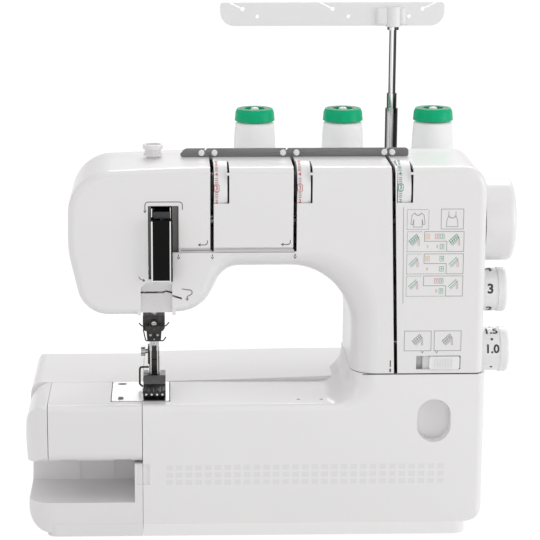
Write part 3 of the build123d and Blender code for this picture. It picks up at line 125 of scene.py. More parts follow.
def worked_metal_group():
    """Metal with tool lines: noise stretched by the Lines vector, in colour, gloss and relief."""
    tree, start, end = new_group(
        "worked_metal",
        [("Colour", "NodeSocketColor", (0.6, 0.6, 0.6, 1)), ("Dark", "NodeSocketColor", (0.4, 0.4, 0.4, 1)),
         ("Lines", "NodeSocketVector", (400.0, 400.0, 20.0)), ("Roughness", "NodeSocketFloat", 0.3),
         ("Spread", "NodeSocketFloat", 0.2), ("Depth", "NodeSocketFloat", 0.1)],
        [("Colour", "NodeSocketColor"), ("Roughness", "NodeSocketFloat"), ("Normal", "NodeSocketVector")])
    place = tree.nodes.new("ShaderNodeTexCoord").outputs["Object"]
    stretch = tree.nodes.new("ShaderNodeVectorMath")
    stretch.operation = "MULTIPLY"
    tree.links.new(place, stretch.inputs[0])
    tree.links.new(start.outputs["Lines"], stretch.inputs[1])
    lines = noise_node(tree, stretch.outputs[0], 1.0, 4)
    colour = mix_colour(tree, lines.outputs["Fac"], start.outputs["Colour"], start.outputs["Dark"])
    swing = math_node(tree, "MULTIPLY", math_node(tree, "SUBTRACT", lines.outputs["Fac"], 0.5),
                      start.outputs["Spread"])
    bump = tree.nodes.new("ShaderNodeBump")
    bump.inputs["Distance"].default_value = 0.0001
    tree.links.new(start.outputs["Depth"], bump.inputs["Strength"])
    tree.links.new(lines.outputs["Fac"], bump.inputs["Height"])
    tree.links.new(colour, end.inputs["Colour"])
    tree.links.new(math_node(tree, "ADD", start.outputs["Roughness"], swing), end.inputs["Roughness"])
    tree.links.new(bump.outputs["Normal"], end.inputs["Normal"])
    return tree


def laid_thread_group():
    """Packed thread: close turns round the spool, each a soft ridge, with a slight stray; the grooves between
    turns are painted darker as shade, patchy by noise.
    """
    tree, start, end = new_group(
        "laid_thread",
        [("Colour", "NodeSocketColor", (0.8, 0.8, 0.8, 1)), ("Shade", "NodeSocketColor", (0.6, 0.6, 0.6, 1)),
         ("Turns per Metre", "NodeSocketFloat", 2600.0), ("Roughness", "NodeSocketFloat", 0.7)],
        [("Colour", "NodeSocketColor"), ("Roughness", "NodeSocketFloat"), ("Normal", "NodeSocketVector")])
    place = tree.nodes.new("ShaderNodeTexCoord").outputs["Object"]
    split = tree.nodes.new("ShaderNodeSeparateXYZ")
    tree.links.new(place, split.inputs[0])
    stray = noise_node(tree, place, 160.0, 2)
    wander = math_node(tree, "MULTIPLY", stray.outputs["Fac"], 0.0012)
    height = math_node(tree, "ADD", split.outputs["Z"], wander)
    count = math_node(tree, "MULTIPLY", height, start.outputs["Turns per Metre"])
    turns = math_node(tree, "MULTIPLY", count, math.tau)
    ridge = math_node(tree, "MULTIPLY", math_node(tree, "ADD", math_node(tree, "SINE", turns, 0.0), 1.0), 0.5)
    patches = noise_node(tree, place, 70.0, 3)
    depth = math_node(tree, "MULTIPLY", ridge, patches.outputs["Fac"])
    bump = tree.nodes.new("ShaderNodeBump")
    bump.inputs["Strength"].default_value = 0.5
    bump.inputs["Distance"].default_value = 0.0003
    tree.links.new(ridge, bump.inputs["Height"])
    # painted shade: the grooves between turns take the Shade colour, made patchy by noise
    colour = mix_colour(tree, depth, start.outputs["Shade"], start.outputs["Colour"])
    tree.links.new(colour, end.inputs["Colour"])
    swing = math_node(tree, "MULTIPLY", patches.outputs["Fac"], 0.15)
    tree.links.new(math_node(tree, "ADD", start.outputs["Roughness"], swing), end.inputs["Roughness"])
    tree.links.new(bump.outputs["Normal"], end.inputs["Normal"])
    return tree


def check_band_group():
    """A faint printed band of small squares on the base, as a mask."""
    tree, start, end = new_group(
        "check_band",
        [("Pitch", "NodeSocketFloat", 0.0078), ("Row", "NodeSocketFloat", 0.0062)],
        [("Mask", "NodeSocketFloat")])
    split = tree.nodes.new("ShaderNodeSeparateXYZ")
    tree.links.new(tree.nodes.new("ShaderNodeTexCoord").outputs["Object"], split.inputs[0])
    masks = []
    for axis, pitch, low, high in (("X", "Pitch", -0.084, 0.141), ("Z", "Row", 0.0426, 0.0612)):
        place = split.outputs[axis]
        cell = math_node(tree, "FRACT", math_node(tree, "DIVIDE", math_node(tree, "SUBTRACT", place, low),
                                                  start.outputs[pitch]), 0.0)
        off = math_node(tree, "ABSOLUTE", math_node(tree, "SUBTRACT", cell, 0.5), 0.0)
        masks.append(math_node(tree, "LESS_THAN", off, 0.34))
        masks.append(math_node(tree, "GREATER_THAN", place, low))
        masks.append(math_node(tree, "LESS_THAN", place, high))
    total = masks[0]
    for mask in masks[1:]:
        total = math_node(tree, "MULTIPLY", total, mask)
    front = math_node(tree, "LESS_THAN", split.outputs["Y"], -0.0995)
    tree.links.new(math_node(tree, "MULTIPLY", total, front), end.inputs["Mask"])
    return tree


MOULDED = moulded_skin_group()
WORKED = worked_metal_group()
LAID = laid_thread_group()
CHECKED = check_band_group()


def finish_material(name, group, values, **constants):
    """A Principled material whose colour, gloss and relief come from a shared effect."""
    material = bpy.data.materials.new(name)
    material.use_nodes = True
    tree = material.node_tree
    shader = tree.nodes["Principled BSDF"]
    effect = tree.nodes.new("ShaderNodeGroup")
    effect.node_tree = group
    for label, value in values.items():
        effect.inputs[label].default_value = value
    tree.links.new(effect.outputs["Colour"], shader.inputs["Base Color"])
    tree.links.new(effect.outputs["Roughness"], shader.inputs["Roughness"])
    tree.links.new(effect.outputs["Normal"], shader.inputs["Normal"])
    for label, value in constants.items():
        shader.inputs[label.replace("_", " ")].default_value = value
    return material


def plastic(name, colour, drift, roughness, grain_depth=0.04, grain_size=900.0, coat=0.0):
    values = {"Colour": (*colour, 1), "Drift": (*drift, 1), "Roughness": roughness, "Grain Depth": grain_depth,
              "Grain Size": grain_size}
    return finish_material(name, MOULDED, values, Coat_Weight=coat, Coat_Roughness=0.12)


def metal(name, colour, dark, lines, roughness, spread=0.15, depth=0.08, metallic=1.0):
    values = {"Colour": (*colour, 1), "Dark": (*dark, 1), "Lines": lines, "Roughness": roughness,
              "Spread": spread, "Depth": depth}
    return finish_material(name, WORKED, values, Metallic=metallic)


def banded_shell():
    """The base's white shell with its faint printed band, in a white painted lighter than the other covers' to
    stand in for light.
    """
    # painted light: this white is lighter than the shell white of the other covers
    material = plastic("base_shell_gloss_painted_lighter", (0.825, 0.818, 0.82), (0.79, 0.783, 0.787), 0.30, 0.03, 700.0, 0.25)
    tree = material.node_tree
    shader = tree.nodes["Principled BSDF"]
    plain = shader.inputs["Base Color"].links[0].from_socket
    band = tree.nodes.new("ShaderNodeGroup")
    band.node_tree = CHECKED
    share = math_node(tree, "MULTIPLY", band.outputs["Mask"], 0.35)
    tree.links.new(mix_colour(tree, share, plain, (0.66, 0.66, 0.68, 1)), shader.inputs["Base Color"])
    return material


def two_tone_foot():
    """Presser foot: satin steel block at the back, black toe in front."""
    material = metal("foot_steel_and_black", (0.19, 0.185, 0.185), (0.12, 0.12, 0.12),
                     (500.0, 90.0, 500.0), 0.34)
    tree = material.node_tree
    shader = tree.nodes["Principled BSDF"]
    steel = shader.inputs["Base Color"].links[0].from_socket
    split = tree.nodes.new("ShaderNodeSeparateXYZ")
    tree.links.new(tree.nodes.new("ShaderNodeTexCoord").outputs["Object"], split.inputs[0])
    toe = math_node(tree, "LESS_THAN", split.outputs["Y"], -0.0655)
    tree.links.new(mix_colour(tree, toe, steel, (0.012, 0.012, 0.013, 1)), shader.inputs["Base Color"])
    tree.links.new(math_node(tree, "SUBTRACT", 1.0, toe), shader.inputs["Metallic"])
    return material


def plated_tube():
    """Bright plated tube with dark and light bands painted into its colour by the way its surface faces: a
    painted reflection of the room.
    """
    material = metal("plated_tube", (0.80, 0.80, 0.81), (0.70, 0.70, 0.71), (300.0, 300.0, 40.0),
                     0.14, 0.06, 0.02)
    tree = material.node_tree
    shader = tree.nodes["Principled BSDF"]
    bright = shader.inputs["Base Color"].links[0].from_socket
    split = tree.nodes.new("ShaderNodeSeparateXYZ")
    tree.links.new(tree.nodes.new("ShaderNodeTexCoord").outputs["Normal"], split.inputs[0])
    angle = math_node(tree, "ARCTAN2", split.outputs["Y"], split.outputs["X"])
    phase = math_node(tree, "ADD", math_node(tree, "MULTIPLY", angle, 3.0), math.radians(240))
    painted_reflection_bands = math_node(tree, "SINE", phase, 0.0)
    share = math_node(tree, "ADD", math_node(tree, "MULTIPLY", painted_reflection_bands, 0.9), 0.75)
    share.node.use_clamp = True
    # painted reflection: the dark bands are mixed into the base colour
    tree.links.new(mix_colour(tree, share, bright, (0.025, 0.024, 0.024, 1)), shader.inputs["Base Color"])
    return material


MATERIALS = {
    "foot": two_tone_foot(),
    "chrome": plated_tube(),
    "base_shell": banded_shell(),
    # painted light: the thread glows faintly (emission 0.09) to brighten it
    "yarn": finish_material("white_thread_faint_glow", LAID,
                            {"Colour": (0.94, 0.94, 0.94, 1), "Shade": (0.87, 0.87, 0.88, 1)},
                            Sheen_Weight=0.15, Emission_Strength=0.09),
    "bright": metal("bright_trim", (0.78, 0.78, 0.78), (0.66, 0.66, 0.66), (500.0, 500.0, 50.0), 0.2),
    "grey_wall": plastic("grey_inner_wall", (0.26, 0.25, 0.235), (0.36, 0.345, 0.33), 0.5, 0.05, 1200.0),
    "shell": plastic("white_shell_gloss", (0.79, 0.783, 0.785), (0.755, 0.748, 0.752), 0.30, 0.03, 700.0, 0.25),
    # painted light: the plinth's white is lighter than the shell's, to brighten the base's lower band
    "plinth": plastic("plinth_white_painted_lighter", (0.87, 0.862, 0.862), (0.84, 0.832, 0.834), 0.34, 0.03, 700.0, 0.2),
    "dial": plastic("dial_satin_white", (0.82, 0.82, 0.825), (0.79, 0.79, 0.80), 0.38, 0.05, 1100.0),
    "stand": plastic("stand_white", (0.80, 0.80, 0.805), (0.76, 0.76, 0.77), 0.36, 0.05, 900.0),
    "green": finish_material("spool_green", MOULDED,
                             {"Colour": (0.0, 0.42, 0.19, 1), "Drift": (0.0, 0.37, 0.165, 1), "Roughness": 0.36,
                              "Grain Depth": 0.05, "Grain Size": 1200.0}, Specular_IOR_Level=0.18),
    # painted shade: dark green for the flat rings in the spools' mouths
    "green_painted_shade": plastic("spool_green_well", (0.0, 0.15, 0.065), (0.0, 0.13, 0.055), 0.5, 0.05, 1200.0),
    "black": plastic("black_moulding", (0.012, 0.012, 0.013), (0.02, 0.02, 0.022), 0.25, 0.05, 1100.0, 0.3),
    "satin_black": finish_material("satin_black_cover", MOULDED,
                                   {"Colour": (0.004, 0.004, 0.004, 1), "Drift": (0.006, 0.006, 0.006, 1),
                                    "Roughness": 0.5, "Grain Depth": 0.06, "Grain Size": 1500.0},
                                   Specular_IOR_Level=0.08),
    "clamp": metal("clamp_steel", (0.075, 0.072, 0.069), (0.026, 0.026, 0.026), (600.0, 600.0, 90.0), 0.36),
    "rubber": plastic("rubber_black", (0.02, 0.02, 0.02), (0.035, 0.034, 0.033), 0.75, 0.3, 2200.0),
    "pulley": plastic("pulley_grey", (0.07, 0.07, 0.075), (0.10, 0.10, 0.10), 0.5, 0.1, 1500.0),
    "steel": metal("ground_steel", (0.62, 0.62, 0.62), (0.45, 0.45, 0.45), (900.0, 900.0, 60.0), 0.28),
    "plate": metal("needle_plate_steel", (0.86, 0.86, 0.86), (0.72, 0.72, 0.72), (60.0, 1200.0, 1200.0), 0.3),
    "gunmetal": metal("blackened_steel", (0.075, 0.075, 0.08), (0.03, 0.03, 0.032), (700.0, 700.0, 90.0), 0.34),
    "strip": metal("guide_strip_steel", (0.235, 0.23, 0.235), (0.13, 0.13, 0.134), (40.0, 900.0, 900.0), 0.26),
    "casting": metal("die_casting", (0.50, 0.50, 0.51), (0.36, 0.36, 0.37), (260.0, 260.0, 260.0),
                     0.55, 0.2, 0.4),
    "bronze": metal("bush_bronze", (0.50, 0.33, 0.14), (0.38, 0.24, 0.10), (900.0, 300.0, 300.0), 0.4),
    # These two serve both real print and painted shade: screw slots, clamp holes, the plate's slot and the seam
    # and groove shadow lines.
    "ink_and_shade_dark": plastic("print_and_shade_dark", (0.035, 0.035, 0.04), (0.06, 0.06, 0.065), 0.55, 0.05, 2500.0),
    "ink_and_shade_grey": plastic("print_and_shade_grey", (0.26, 0.255, 0.26), (0.32, 0.31, 0.32), 0.55, 0.05, 2500.0),
    "soft_shade": plastic("groove_shade", (0.56, 0.55, 0.545), (0.60, 0.59, 0.585), 0.5, 0.05, 1500.0),
    "ink_green": plastic("print_green", (0.10, 0.36, 0.22), (0.14, 0.40, 0.26), 0.55, 0.05, 2500.0),
    "ink_pink": plastic("print_pink", (0.62, 0.20, 0.30), (0.66, 0.26, 0.35), 0.55, 0.05, 2500.0),
    "ink_orange": plastic("print_orange", (0.75, 0.42, 0.12), (0.78, 0.47, 0.18), 0.55, 0.05, 2500.0),
    "ink_red": plastic("print_red", (0.60, 0.10, 0.13), (0.64, 0.15, 0.18), 0.55, 0.05, 2500.0),
}

NODE_FINISH = {
    "base_shell": ["base_front_shell"],
    "shell": ["arm_front_cover", "column_front_cover", "arm_rear_cover", "base_rear_shell", "free_arm_shell",
              "free_arm_end_cap", "looper_cover", "extension_table", "handwheel", "pressure_knob"],
    "plinth": ["base_plate"],
    "dial": ["stitch_length_dial", "differential_dial", "tension_dial_left", "tension_dial_middle",
             "tension_dial_right", "selector_slider", "guide_discs"],
    "stand": ["spool_tray", "guide_bar"],
    "green": ["spool_cores"],
    "satin_black": ["take_up_cover"],
    "black": ["power_switch", "power_unit", "foot_lifter"],
    "rubber": ["rubber_feet", "timing_belt", "drive_belt"],
    "pulley": ["upper_timing_pulley", "lower_pulley", "motor_pulley"],
    "steel": ["needle_bar", "needles", "presser_bar", "foot_thumb_screw", "upper_shaft", "lower_shaft",
              "presser_spring", "main_feed_dog", "differential_feed_dog", "looper", "con_rod"],
    "plate": ["needle_plate"],
    "chrome": ["pole_lower", "pole_middle", "pole_upper"],
    "foot": ["presser_foot"],
    "clamp": ["needle_clamp", "foot_holder"],
    "gunmetal": ["clamp_wires", "needle_crank", "take_up_lever", "tension_discs", "tension_axles"],
    "strip": ["top_thread_guide"],
    "casting": ["machine_frame", "motor"],
    "bronze": ["shaft_bushes"],
}
for finish, names in NODE_FINISH.items():
    for name in names:
        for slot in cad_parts[name].material_slots:
            slot.material = MATERIALS[finish]


# Meshes

def add_piece(bm, name, finish, body, smooth=False):
    """Turns the bmesh into a piece that rides on a body."""
    mesh = bpy.data.meshes.new(name)
    bm.to_mesh(mesh)
    bm.free()
    if smooth:
        mesh.shade_smooth()
    mesh.materials.append(MATERIALS[finish])
    piece = bpy.data.objects.new(name, mesh)
    scene.collection.objects.link(piece)
    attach(piece, body)
    return piece


def block(bm, x0, x1, y0, y1, z0, z1):
    """A box between limits in millimetres."""
    middle = Matrix.Translation(Vector((x0 + x1, y0 + y1, z0 + z1)) * MM / 2)
    size = Matrix.Diagonal(((x1 - x0) * MM, (y1 - y0) * MM, (z1 - z0) * MM, 1))
    return bmesh.ops.create_cube(bm, size=1.0, matrix=middle @ size)["verts"]


def soft_block(bm, x0, x1, y0, y1, z0, z1, round_mm, segments=2):
    """A box with rounded edges."""
    verts = block(bm, x0, x1, y0, y1, z0, z1)
    edges = list({edge for vert in verts for edge in vert.link_edges})
    bmesh.ops.bevel(bm, geom=edges, offset=round_mm * MM, affect="EDGES", segments=segments, profile=0.5,
                    material=-1)


def ink_bar(bm, x0, x1, z0, z1, y=FRONT):
    """A flat rectangle on a face that looks to the front: print, and also painted shadow lines."""
    block(bm, x0, x1, y - INK, y + 0.02, z0, z1)


def ink_line(bm, points, width, y=FRONT):
    """A printed stroke through points (x, z)."""
    for (xa, za), (xb, zb) in zip(points, points[1:]):
        length = math.hypot(xb - xa, zb - za) + width * 0.6
        place = Matrix.Translation(Vector(((xa + xb) / 2, y - INK / 2 + 0.01, (za + zb) / 2)) * MM)
        turn = Matrix.Rotation(-math.atan2(zb - za, xb - xa), 4, "Y")
        size = Matrix.Diagonal((length * MM, (INK + 0.02) * MM, width * MM, 1))
        bmesh.ops.create_cube(bm, size=1.0, matrix=place @ turn @ size)


def front_disc(bm, x, y, z, radius, segments):
    """A flat disc that looks to the front."""
    turned = Matrix.Translation(Vector((x, y, z)) * MM) @ Matrix.Rotation(math.pi / 2, 4, "X")
    bmesh.ops.create_circle(bm, cap_ends=True, segments=segments, radius=radius * MM, matrix=turned)


def ink_dashes(bm, start, end, dash, gap, width, y=FRONT):
    """A dashed printed line."""
    run = Vector(end) - Vector(start)
    count = max(1, round(run.length / (dash + gap)))
    for step in range(count):
        first = Vector(start) + run * (step / count)
        last = first + run * (dash / (dash + gap) / count)
        ink_line(bm, [tuple(first), tuple(last)], width, y)


def arc_points(cx, cz, r, start, end, steps):
    """Points (x, z) on an arc, angles in degrees."""
    angles = [math.radians(start + (end - start) * step / steps) for step in range(steps + 1)]
    return [(cx + r * math.cos(angle), cz + r * math.sin(angle)) for angle in angles]


def ink_text(words, height, x, z, y=FRONT, bold=0.0):
    """Printed figures as a bmesh that faces the front, centred at (x, z)."""
    curve = bpy.data.curves.new("figures", "FONT")
    curve.body = words
    curve.size = height * MM
    curve.align_x = "CENTER"
    curve.align_y = "CENTER"
    curve.offset = bold * height * MM
    curve.resolution_u = 3
    lettering = bpy.data.objects.new("figures", curve)
    scene.collection.objects.link(lettering)
    bpy.context.view_layer.update()
    flat = bpy.data.meshes.new_from_object(lettering)
    bpy.data.objects.remove(lettering)
    bm = bmesh.new()
    bm.from_mesh(flat)
    bpy.data.meshes.remove(flat)
    place = Matrix.Translation(Vector((x, y - INK, z)) * MM) @ Matrix.Rotation(math.pi / 2, 4, "X")
    bmesh.ops.transform(bm, matrix=place, verts=bm.verts)
    return bm


def wrap_on_drum(bm, y, z, radius, turn=0.0):
    """Lays front-facing figures round a drum along X, turned about its axis by degrees."""
    low = min(vert.co.z for vert in bm.verts)
    high = max(vert.co.z for vert in bm.verts)
    for step in range(1, 7):
        height = low + (high - low) * step / 7
        bmesh.ops.bisect_plane(bm, geom=bm.verts[:] + bm.edges[:] + bm.faces[:], plane_co=(0, 0, height),
                               plane_no=(0, 0, 1))
    for vert in bm.verts:
        angle = (vert.co.z - z * MM) / (radius * MM) + math.radians(turn)
        reach = (radius + INK) * MM
        vert.co.y = y * MM - reach * math.cos(angle)
        vert.co.z = z * MM + reach * math.sin(angle)


def join(target, other):
    """Adds one bmesh to another."""
    scrap = bpy.data.meshes.new("scrap")
    other.to_mesh(scrap)
    other.free()
    target.from_mesh(scrap)
    bpy.data.meshes.remove(scrap)


# Prints on the head, arm and column

def arrow_tip(bm, x, z, angle, size, width):
    """Two short strokes that make an arrow's point."""
    for side in (-1, 1):
        lean = math.radians(angle + 180 + side * 32)
        ink_line(bm, [(x, z), (x + size * math.cos(lean), z + size * math.sin(lean))], width)


def threading_marks():
    """Arrows and marks that show the thread's path on the head and arm."""
    bm = bmesh.new()
    left = arc_points(-95.6, 273.1, 2.5, 180, 90, 4)
    right = arc_points(-71.4, 273.1, 2.5, 90, 0, 4)
    ink_line(bm, [(-98.1, 268.5)] + left + right + [(-68.9, 269.6)], 0.55)
    arrow_tip(bm, -98.1, 267.2, 270, 1.7, 0.5)
    for x in (-51.6, 13.4):
        ink_line(bm, [(x + 2.2, 244.6)] + arc_points(x, 243.4, 2.2, 0, -90, 4) + [(x - 4.2, 241.3)], 0.55)
        arrow_tip(bm, x - 4.8, 241.3, 180, 1.8, 0.5)
    ink_bar(bm, 95.6, 96.4, 141.0, 146.4)
    ink_bar(bm, 95.4, 96.6, 136.8, 139.6)
    for x in (-72.1, -45.5, 19.4):
        ink_bar(bm, x - 0.3, x + 0.3, 231.8, 233.6)
        arrow_tip(bm, x, 230.0, 270, 1.6, 0.5)
    ink_line(bm, [(-103.2, 215.9), (-102.9, 214.8), (-101.6, 213.7), (-99.4, 212.9)], 0.5)
    arrow_tip(bm, -98.7, 212.7, -15, 1.6, 0.5)
    bend = arc_points(-63.6, 203.0, 2.1, 80, -70, 6)
    ink_line(bm, [(-69.5, 205.9), (-64.9, 205.1)] + bend + [(-65.2, 199.8), (-65.4, 198.0)], 0.55)
    arrow_tip(bm, -65.4, 196.6, 270, 1.7, 0.5)
    add_piece(bm, "threading_arrows", "ink_and_shade_dark", "machine")


def stitch_icon(bm_lines, bm_hatch, bm_legs, x, z, rows):
    """A small tilted stitch picture: a hatched band, its edge and the hanging threads."""
    along = Vector((0.72, 0.69))
    across = Vector((-0.69, 0.72))
    for row in range(rows + 1):
        base = Vector((x, z)) + across * (1.7 * row - 0.85 * rows)
        ink_line(bm_hatch, [tuple(base - along * 4.2), tuple(base + along * 4.2)], 0.42)
    if rows > 1:
        for step in range(5):
            base = Vector((x, z)) + along * (1.9 * step - 4.2)
            side = across * 0.85 * rows
            ink_line(bm_hatch, [tuple(base - side), tuple(base + side + along)], 0.38)
    edge = Vector((x, z)) - across * (0.85 * rows + 1.2)
    ink_line(bm_lines, [tuple(edge - along * 4.2), tuple(edge + along * 3.2)], 0.3)
    corner = edge + along * 3.2
    ink_line(bm_lines, [tuple(corner), tuple(corner + across * 2.2)], 0.25)
    for shift in (0.0, 1.1):
        foot = Vector((corner.x + 0.2 - shift, corner.y - 0.8 - shift))
        ink_line(bm_legs, [tuple(foot), (foot.x, foot.y - 4.2 + shift)], 0.32)


def stitch_chart():
    """Generic chart of stitch pictures and settings on the column."""
    lines = bmesh.new()
    green = bmesh.new()
    pink = bmesh.new()
    orange = bmesh.new()
    ink_line(lines, [(104.0, 270.5), (105.0, 193.1)], 0.32)
    # garments
    left, right, top, bottom = 107.0, 124.0, 268.6, 252.8
    for start, end in (((left, top), (right, top)), ((left, bottom), (right, bottom)),
                       ((left, bottom), (left, top)), ((right, bottom), (right, top))):
        ink_dashes(lines, start, end, 1.3, 0.8, 0.32)
    ink_line(lines, [(133.8, 268.9), (151.3, 268.9), (151.3, 252.9), (133.8, 252.9), (133.8, 268.9)], 0.36)
    shirt = [(113.0, 266.0), (110.8, 264.2), (109.9, 257.0), (111.4, 256.4), (112.2, 260.6), (112.2, 254.6),
             (118.8, 254.6), (118.8, 260.6), (119.6, 256.4), (121.1, 257.0), (120.2, 264.2), (118.0, 266.0)]
    ink_line(lines, shirt, 0.36)
    ink_line(lines, arc_points(115.5, 266.6, 2.6, 195, 345, 6), 0.5)
    dress = [(139.6, 266.9), (139.6, 263.6), (138.2, 260.0), (137.9, 254.8), (146.9, 254.8), (146.6, 260.0),
             (145.2, 263.6), (145.2, 266.9)]
    ink_line(lines, dress, 0.36)
    ink_line(lines, arc_points(142.4, 264.6, 2.9, 200, 340, 6), 0.5)
    # three rows of settings
    for row, (top, bottom, kind) in enumerate(((250.9, 234.9, 2), (233.0, 216.9, 1), (215.2, 198.8, 1))):
        middle = (top + bottom) / 2
        for start, end in (((107.4, top), (119.6, top)), ((107.4, bottom), (138.4, bottom)),
                           ((107.4, bottom), (107.4, top))):
            ink_dashes(lines, start, end, 1.3, 0.8, 0.32)
        step = [(138.6, bottom), (138.6, middle + 0.3), (121.0, middle + 0.3), (121.0, top), (152.0, top),
                (152.0, bottom), (138.6, bottom)]
        ink_line(lines, step, 0.36)
        for x in (112.6, 144.2):
            stitch_icon(lines, green, pink, x, middle + 1.8, kind)
        figures = [(134.9, green, str(3 + row))]
        if row != 1:
            figures.insert(0, (131.0, pink, "3"))
        if row < 2:
            figures.insert(0, (123.6, orange, str(5 + row)))
        for x, shade, word in figures:
            for z in (middle + 4.2, middle - 4.0):
                join(shade, ink_text(word, 3.4, x, z))
                if z > middle or shade is green:
                    border = [(x - 1.5, z - 1.9), (x + 1.5, z - 1.9), (x + 1.5, z + 1.9), (x - 1.5, z + 1.9)]
                    ink_line(shade, border + border[:1], 0.28)
    # two pictures over the selector
    for x0 in (106.8, 130.6):
        ink_line(lines, [(x0, 154.2), (x0 + 21.3, 154.2), (x0 + 21.3, 170.4), (x0, 170.4), (x0, 154.2)], 0.36)
        stitch_icon(lines, lines, lines, x0 + 10.2, 163.6, 2)
    for x in (121.3, 132.8):
        ink_line(lines, [(x - 0.9, 153.6), (x, 152.5), (x + 0.9, 153.6)], 0.5)
    add_piece(lines, "chart_lines", "ink_and_shade_grey", "machine")
    add_piece(green, "chart_green", "ink_green", "machine")
    add_piece(pink, "chart_pink", "ink_pink", "machine")
    add_piece(orange, "chart_orange", "ink_orange", "machine")


def dial_figures():
    """Figures and ticks on the numbered dials."""
    drum_y, drum_z, drum_r = -79.5, 283.0, 21.0
    for side, x0, finish in (("left", -44.2, "ink_red"), ("middle", 20.8, "ink_red"),
                             ("right", 99.4, "ink_green")):
        bm = bmesh.new()
        middle = x0 + 2.0
        for place in range(10):
            turn = 9.0 + 30.0 * (place - 3)
            figure = ink_text(str(place), 4.6, middle, drum_z, bold=0.02)
            if place == 3:
                for low in (-2.6, 2.2):
                    ink_bar(figure, middle - 2.1, middle + 2.1, drum_z + low, drum_z + low + 0.4)
                for left in (-2.1, 1.7):
                    ink_bar(figure, middle + left, middle + left + 0.4, drum_z - 2.2, drum_z + 2.2)
            wrap_on_drum(figure, drum_y, drum_z, drum_r, turn)
            join(bm, figure)
            for step in range(1, 5):
                tick = bmesh.new()
                ink_bar(tick, middle - 1.2, middle + 1.2, drum_z - 0.25, drum_z + 0.25)
                wrap_on_drum(tick, drum_y, drum_z, drum_r, turn + 9.0 + 4.0 * (step - 1))
                join(bm, tick)
        add_piece(bm, f"tension_figures_{side}", finish, f"{side}_tension")
    for name, body, words, x, z, r, size, facing, spread, dots in (
            ("length_figures", "length_dial", ("1", "2", "3", "4", "F"), 178.6, 194.0, 17.4, 10.8, 2, 68.0, ()),
            ("feed_ratio_figures", "feed_ratio_dial", ("1.0", "1.5", "2.0"), 181.4, 144.0, 17.8, 9.6, 0, 54.0,
             (40.0, -41.0, 94.0))):
        bm = bmesh.new()
        for place, word in enumerate(words):
            figure = ink_text(word, size, x, z, bold=0.032)
            wrap_on_drum(figure, SIDE_DIAL_Y, z, r, 13.0 + spread * (place - facing))
            join(bm, figure)
        for turn in dots:
            dot = bmesh.new()
            front_disc(dot, x, -60.0, z, 1.1, 14)
            wrap_on_drum(dot, SIDE_DIAL_Y, z, r, turn)
            join(bm, dot)
        add_piece(bm, name, "ink_and_shade_dark", body)


# Spools, screws and trim

def lathe(bm, profile, x, y, segments=72):
    """A closed ring of revolution about a vertical line at (x, y), from (radius, z) in millimetres."""
    verts = [bm.verts.new(Vector((x + r, y, z)) * MM) for r, z in profile]
    edges = [bm.edges.new(pair) for pair in zip(verts, verts[1:] + verts[:1])]
    bmesh.ops.spin(bm, geom=verts + edges, cent=Vector((x, y, 0)) * MM, axis=(0, 0, 1), angle=2 * math.pi,
                   steps=segments, use_merge=True)
    bmesh.ops.remove_doubles(bm, verts=bm.verts, dist=1e-7)
    bmesh.ops.recalc_face_normals(bm, faces=bm.faces)


def wound_thread():
    """Thread on the spools: shallow ridges of laid turns between full, rounded shoulders."""
    bm = bmesh.new()
    low, high, ridges = 267.3, 314.7, 30
    for x in SPOOL_X:
        profile = [(9.1, high), (9.1, low), (15.6, low), (17.2, low + 0.5)]
        for step in range(2 * ridges + 1):
            share = step / (2 * ridges)
            waist = 18.5 - 1.6 * share - 0.5 * (2 * share - 1) ** 4
            ridge = 0.10 if step % 2 else -0.04
            profile.append((waist + ridge, low + 1.4 + (high - low - 2.6) * share))
        profile += [(15.4, high - 0.4), (14.0, high)]
        lathe(bm, profile, x, SPOOL_Y)
    piece = add_piece(bm, "wound_thread", "yarn", "machine", smooth=True)
    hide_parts("spool_threads")


def spool_wells():
    """A flat dark green ring of painted shade in the wide mouth of each spool's cap, and the pin's white tip in
    it.
    """
    mouth_shades, tips = bmesh.new(), bmesh.new()
    for x in SPOOL_X:
        # painted shade: a flat dark ring stands in for the shaded inside of the cap
        lathe(mouth_shades, [(8.6, 326.0), (13.6, 326.0), (13.6, 326.08), (8.6, 326.08)], x, SPOOL_Y)
        lathe(tips, [(0.3, 322.0), (3.6, 322.0), (3.6, 325.6), (2.6, 326.6), (0.3, 327.0)], x, SPOOL_Y, 32)
    add_piece(mouth_shades, "spool_mouth_shades", "green_painted_shade", "machine")
    add_piece(tips, "spool_pin_tips", "stand", "machine", smooth=True)


def guide_bar_flanks():
    """The thread guide plate swells on both sides of its hub."""
    bm = bmesh.new()
    soft_block(bm, 98.5, 109.0, 77.6, 85.6, 393.2, 408.6, 2.6, 4)
    soft_block(bm, 118.0, 124.0, 77.6, 85.6, 393.2, 408.6, 2.6, 4)
    add_piece(bm, "guide_bar_flanks", "stand", "guide_head", smooth=True)


def presser_coil():
    """The presser bar's spring below the pressure knob, riding on the presser body."""
    bm = bmesh.new()
    x, y, low, high = -92.0, -43.0, 252.7, 283.2
    turns, steps, coil_r, wire_r, sides = 7, 28, 5.1, 0.6, 10
    up = Vector((0, 0, 1))
    around = [2 * math.pi * side / sides for side in range(sides)]
    rings = []
    for step in range(turns * steps + 1):
        angle = 2 * math.pi * step / steps
        out = Vector((math.cos(angle), math.sin(angle), 0))
        middle = Vector((x, y, low + (high - low) * step / (turns * steps))) + coil_r * out
        rings.append([bm.verts.new((middle + wire_r * (math.cos(a) * out + math.sin(a) * up)) * MM)
                      for a in around])
    for first, second in zip(rings, rings[1:]):
        for side in range(sides):
            after = (side + 1) % sides
            bm.faces.new((first[side], first[after], second[after], second[side]))
    bm.faces.new(rings[0])
    bm.faces.new(rings[-1])
    bmesh.ops.recalc_face_normals(bm, faces=bm.faces)
    piece = add_piece(bm, "presser_coil", "steel", "presser", smooth=True)
    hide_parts("presser_spring")
    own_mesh(piece)


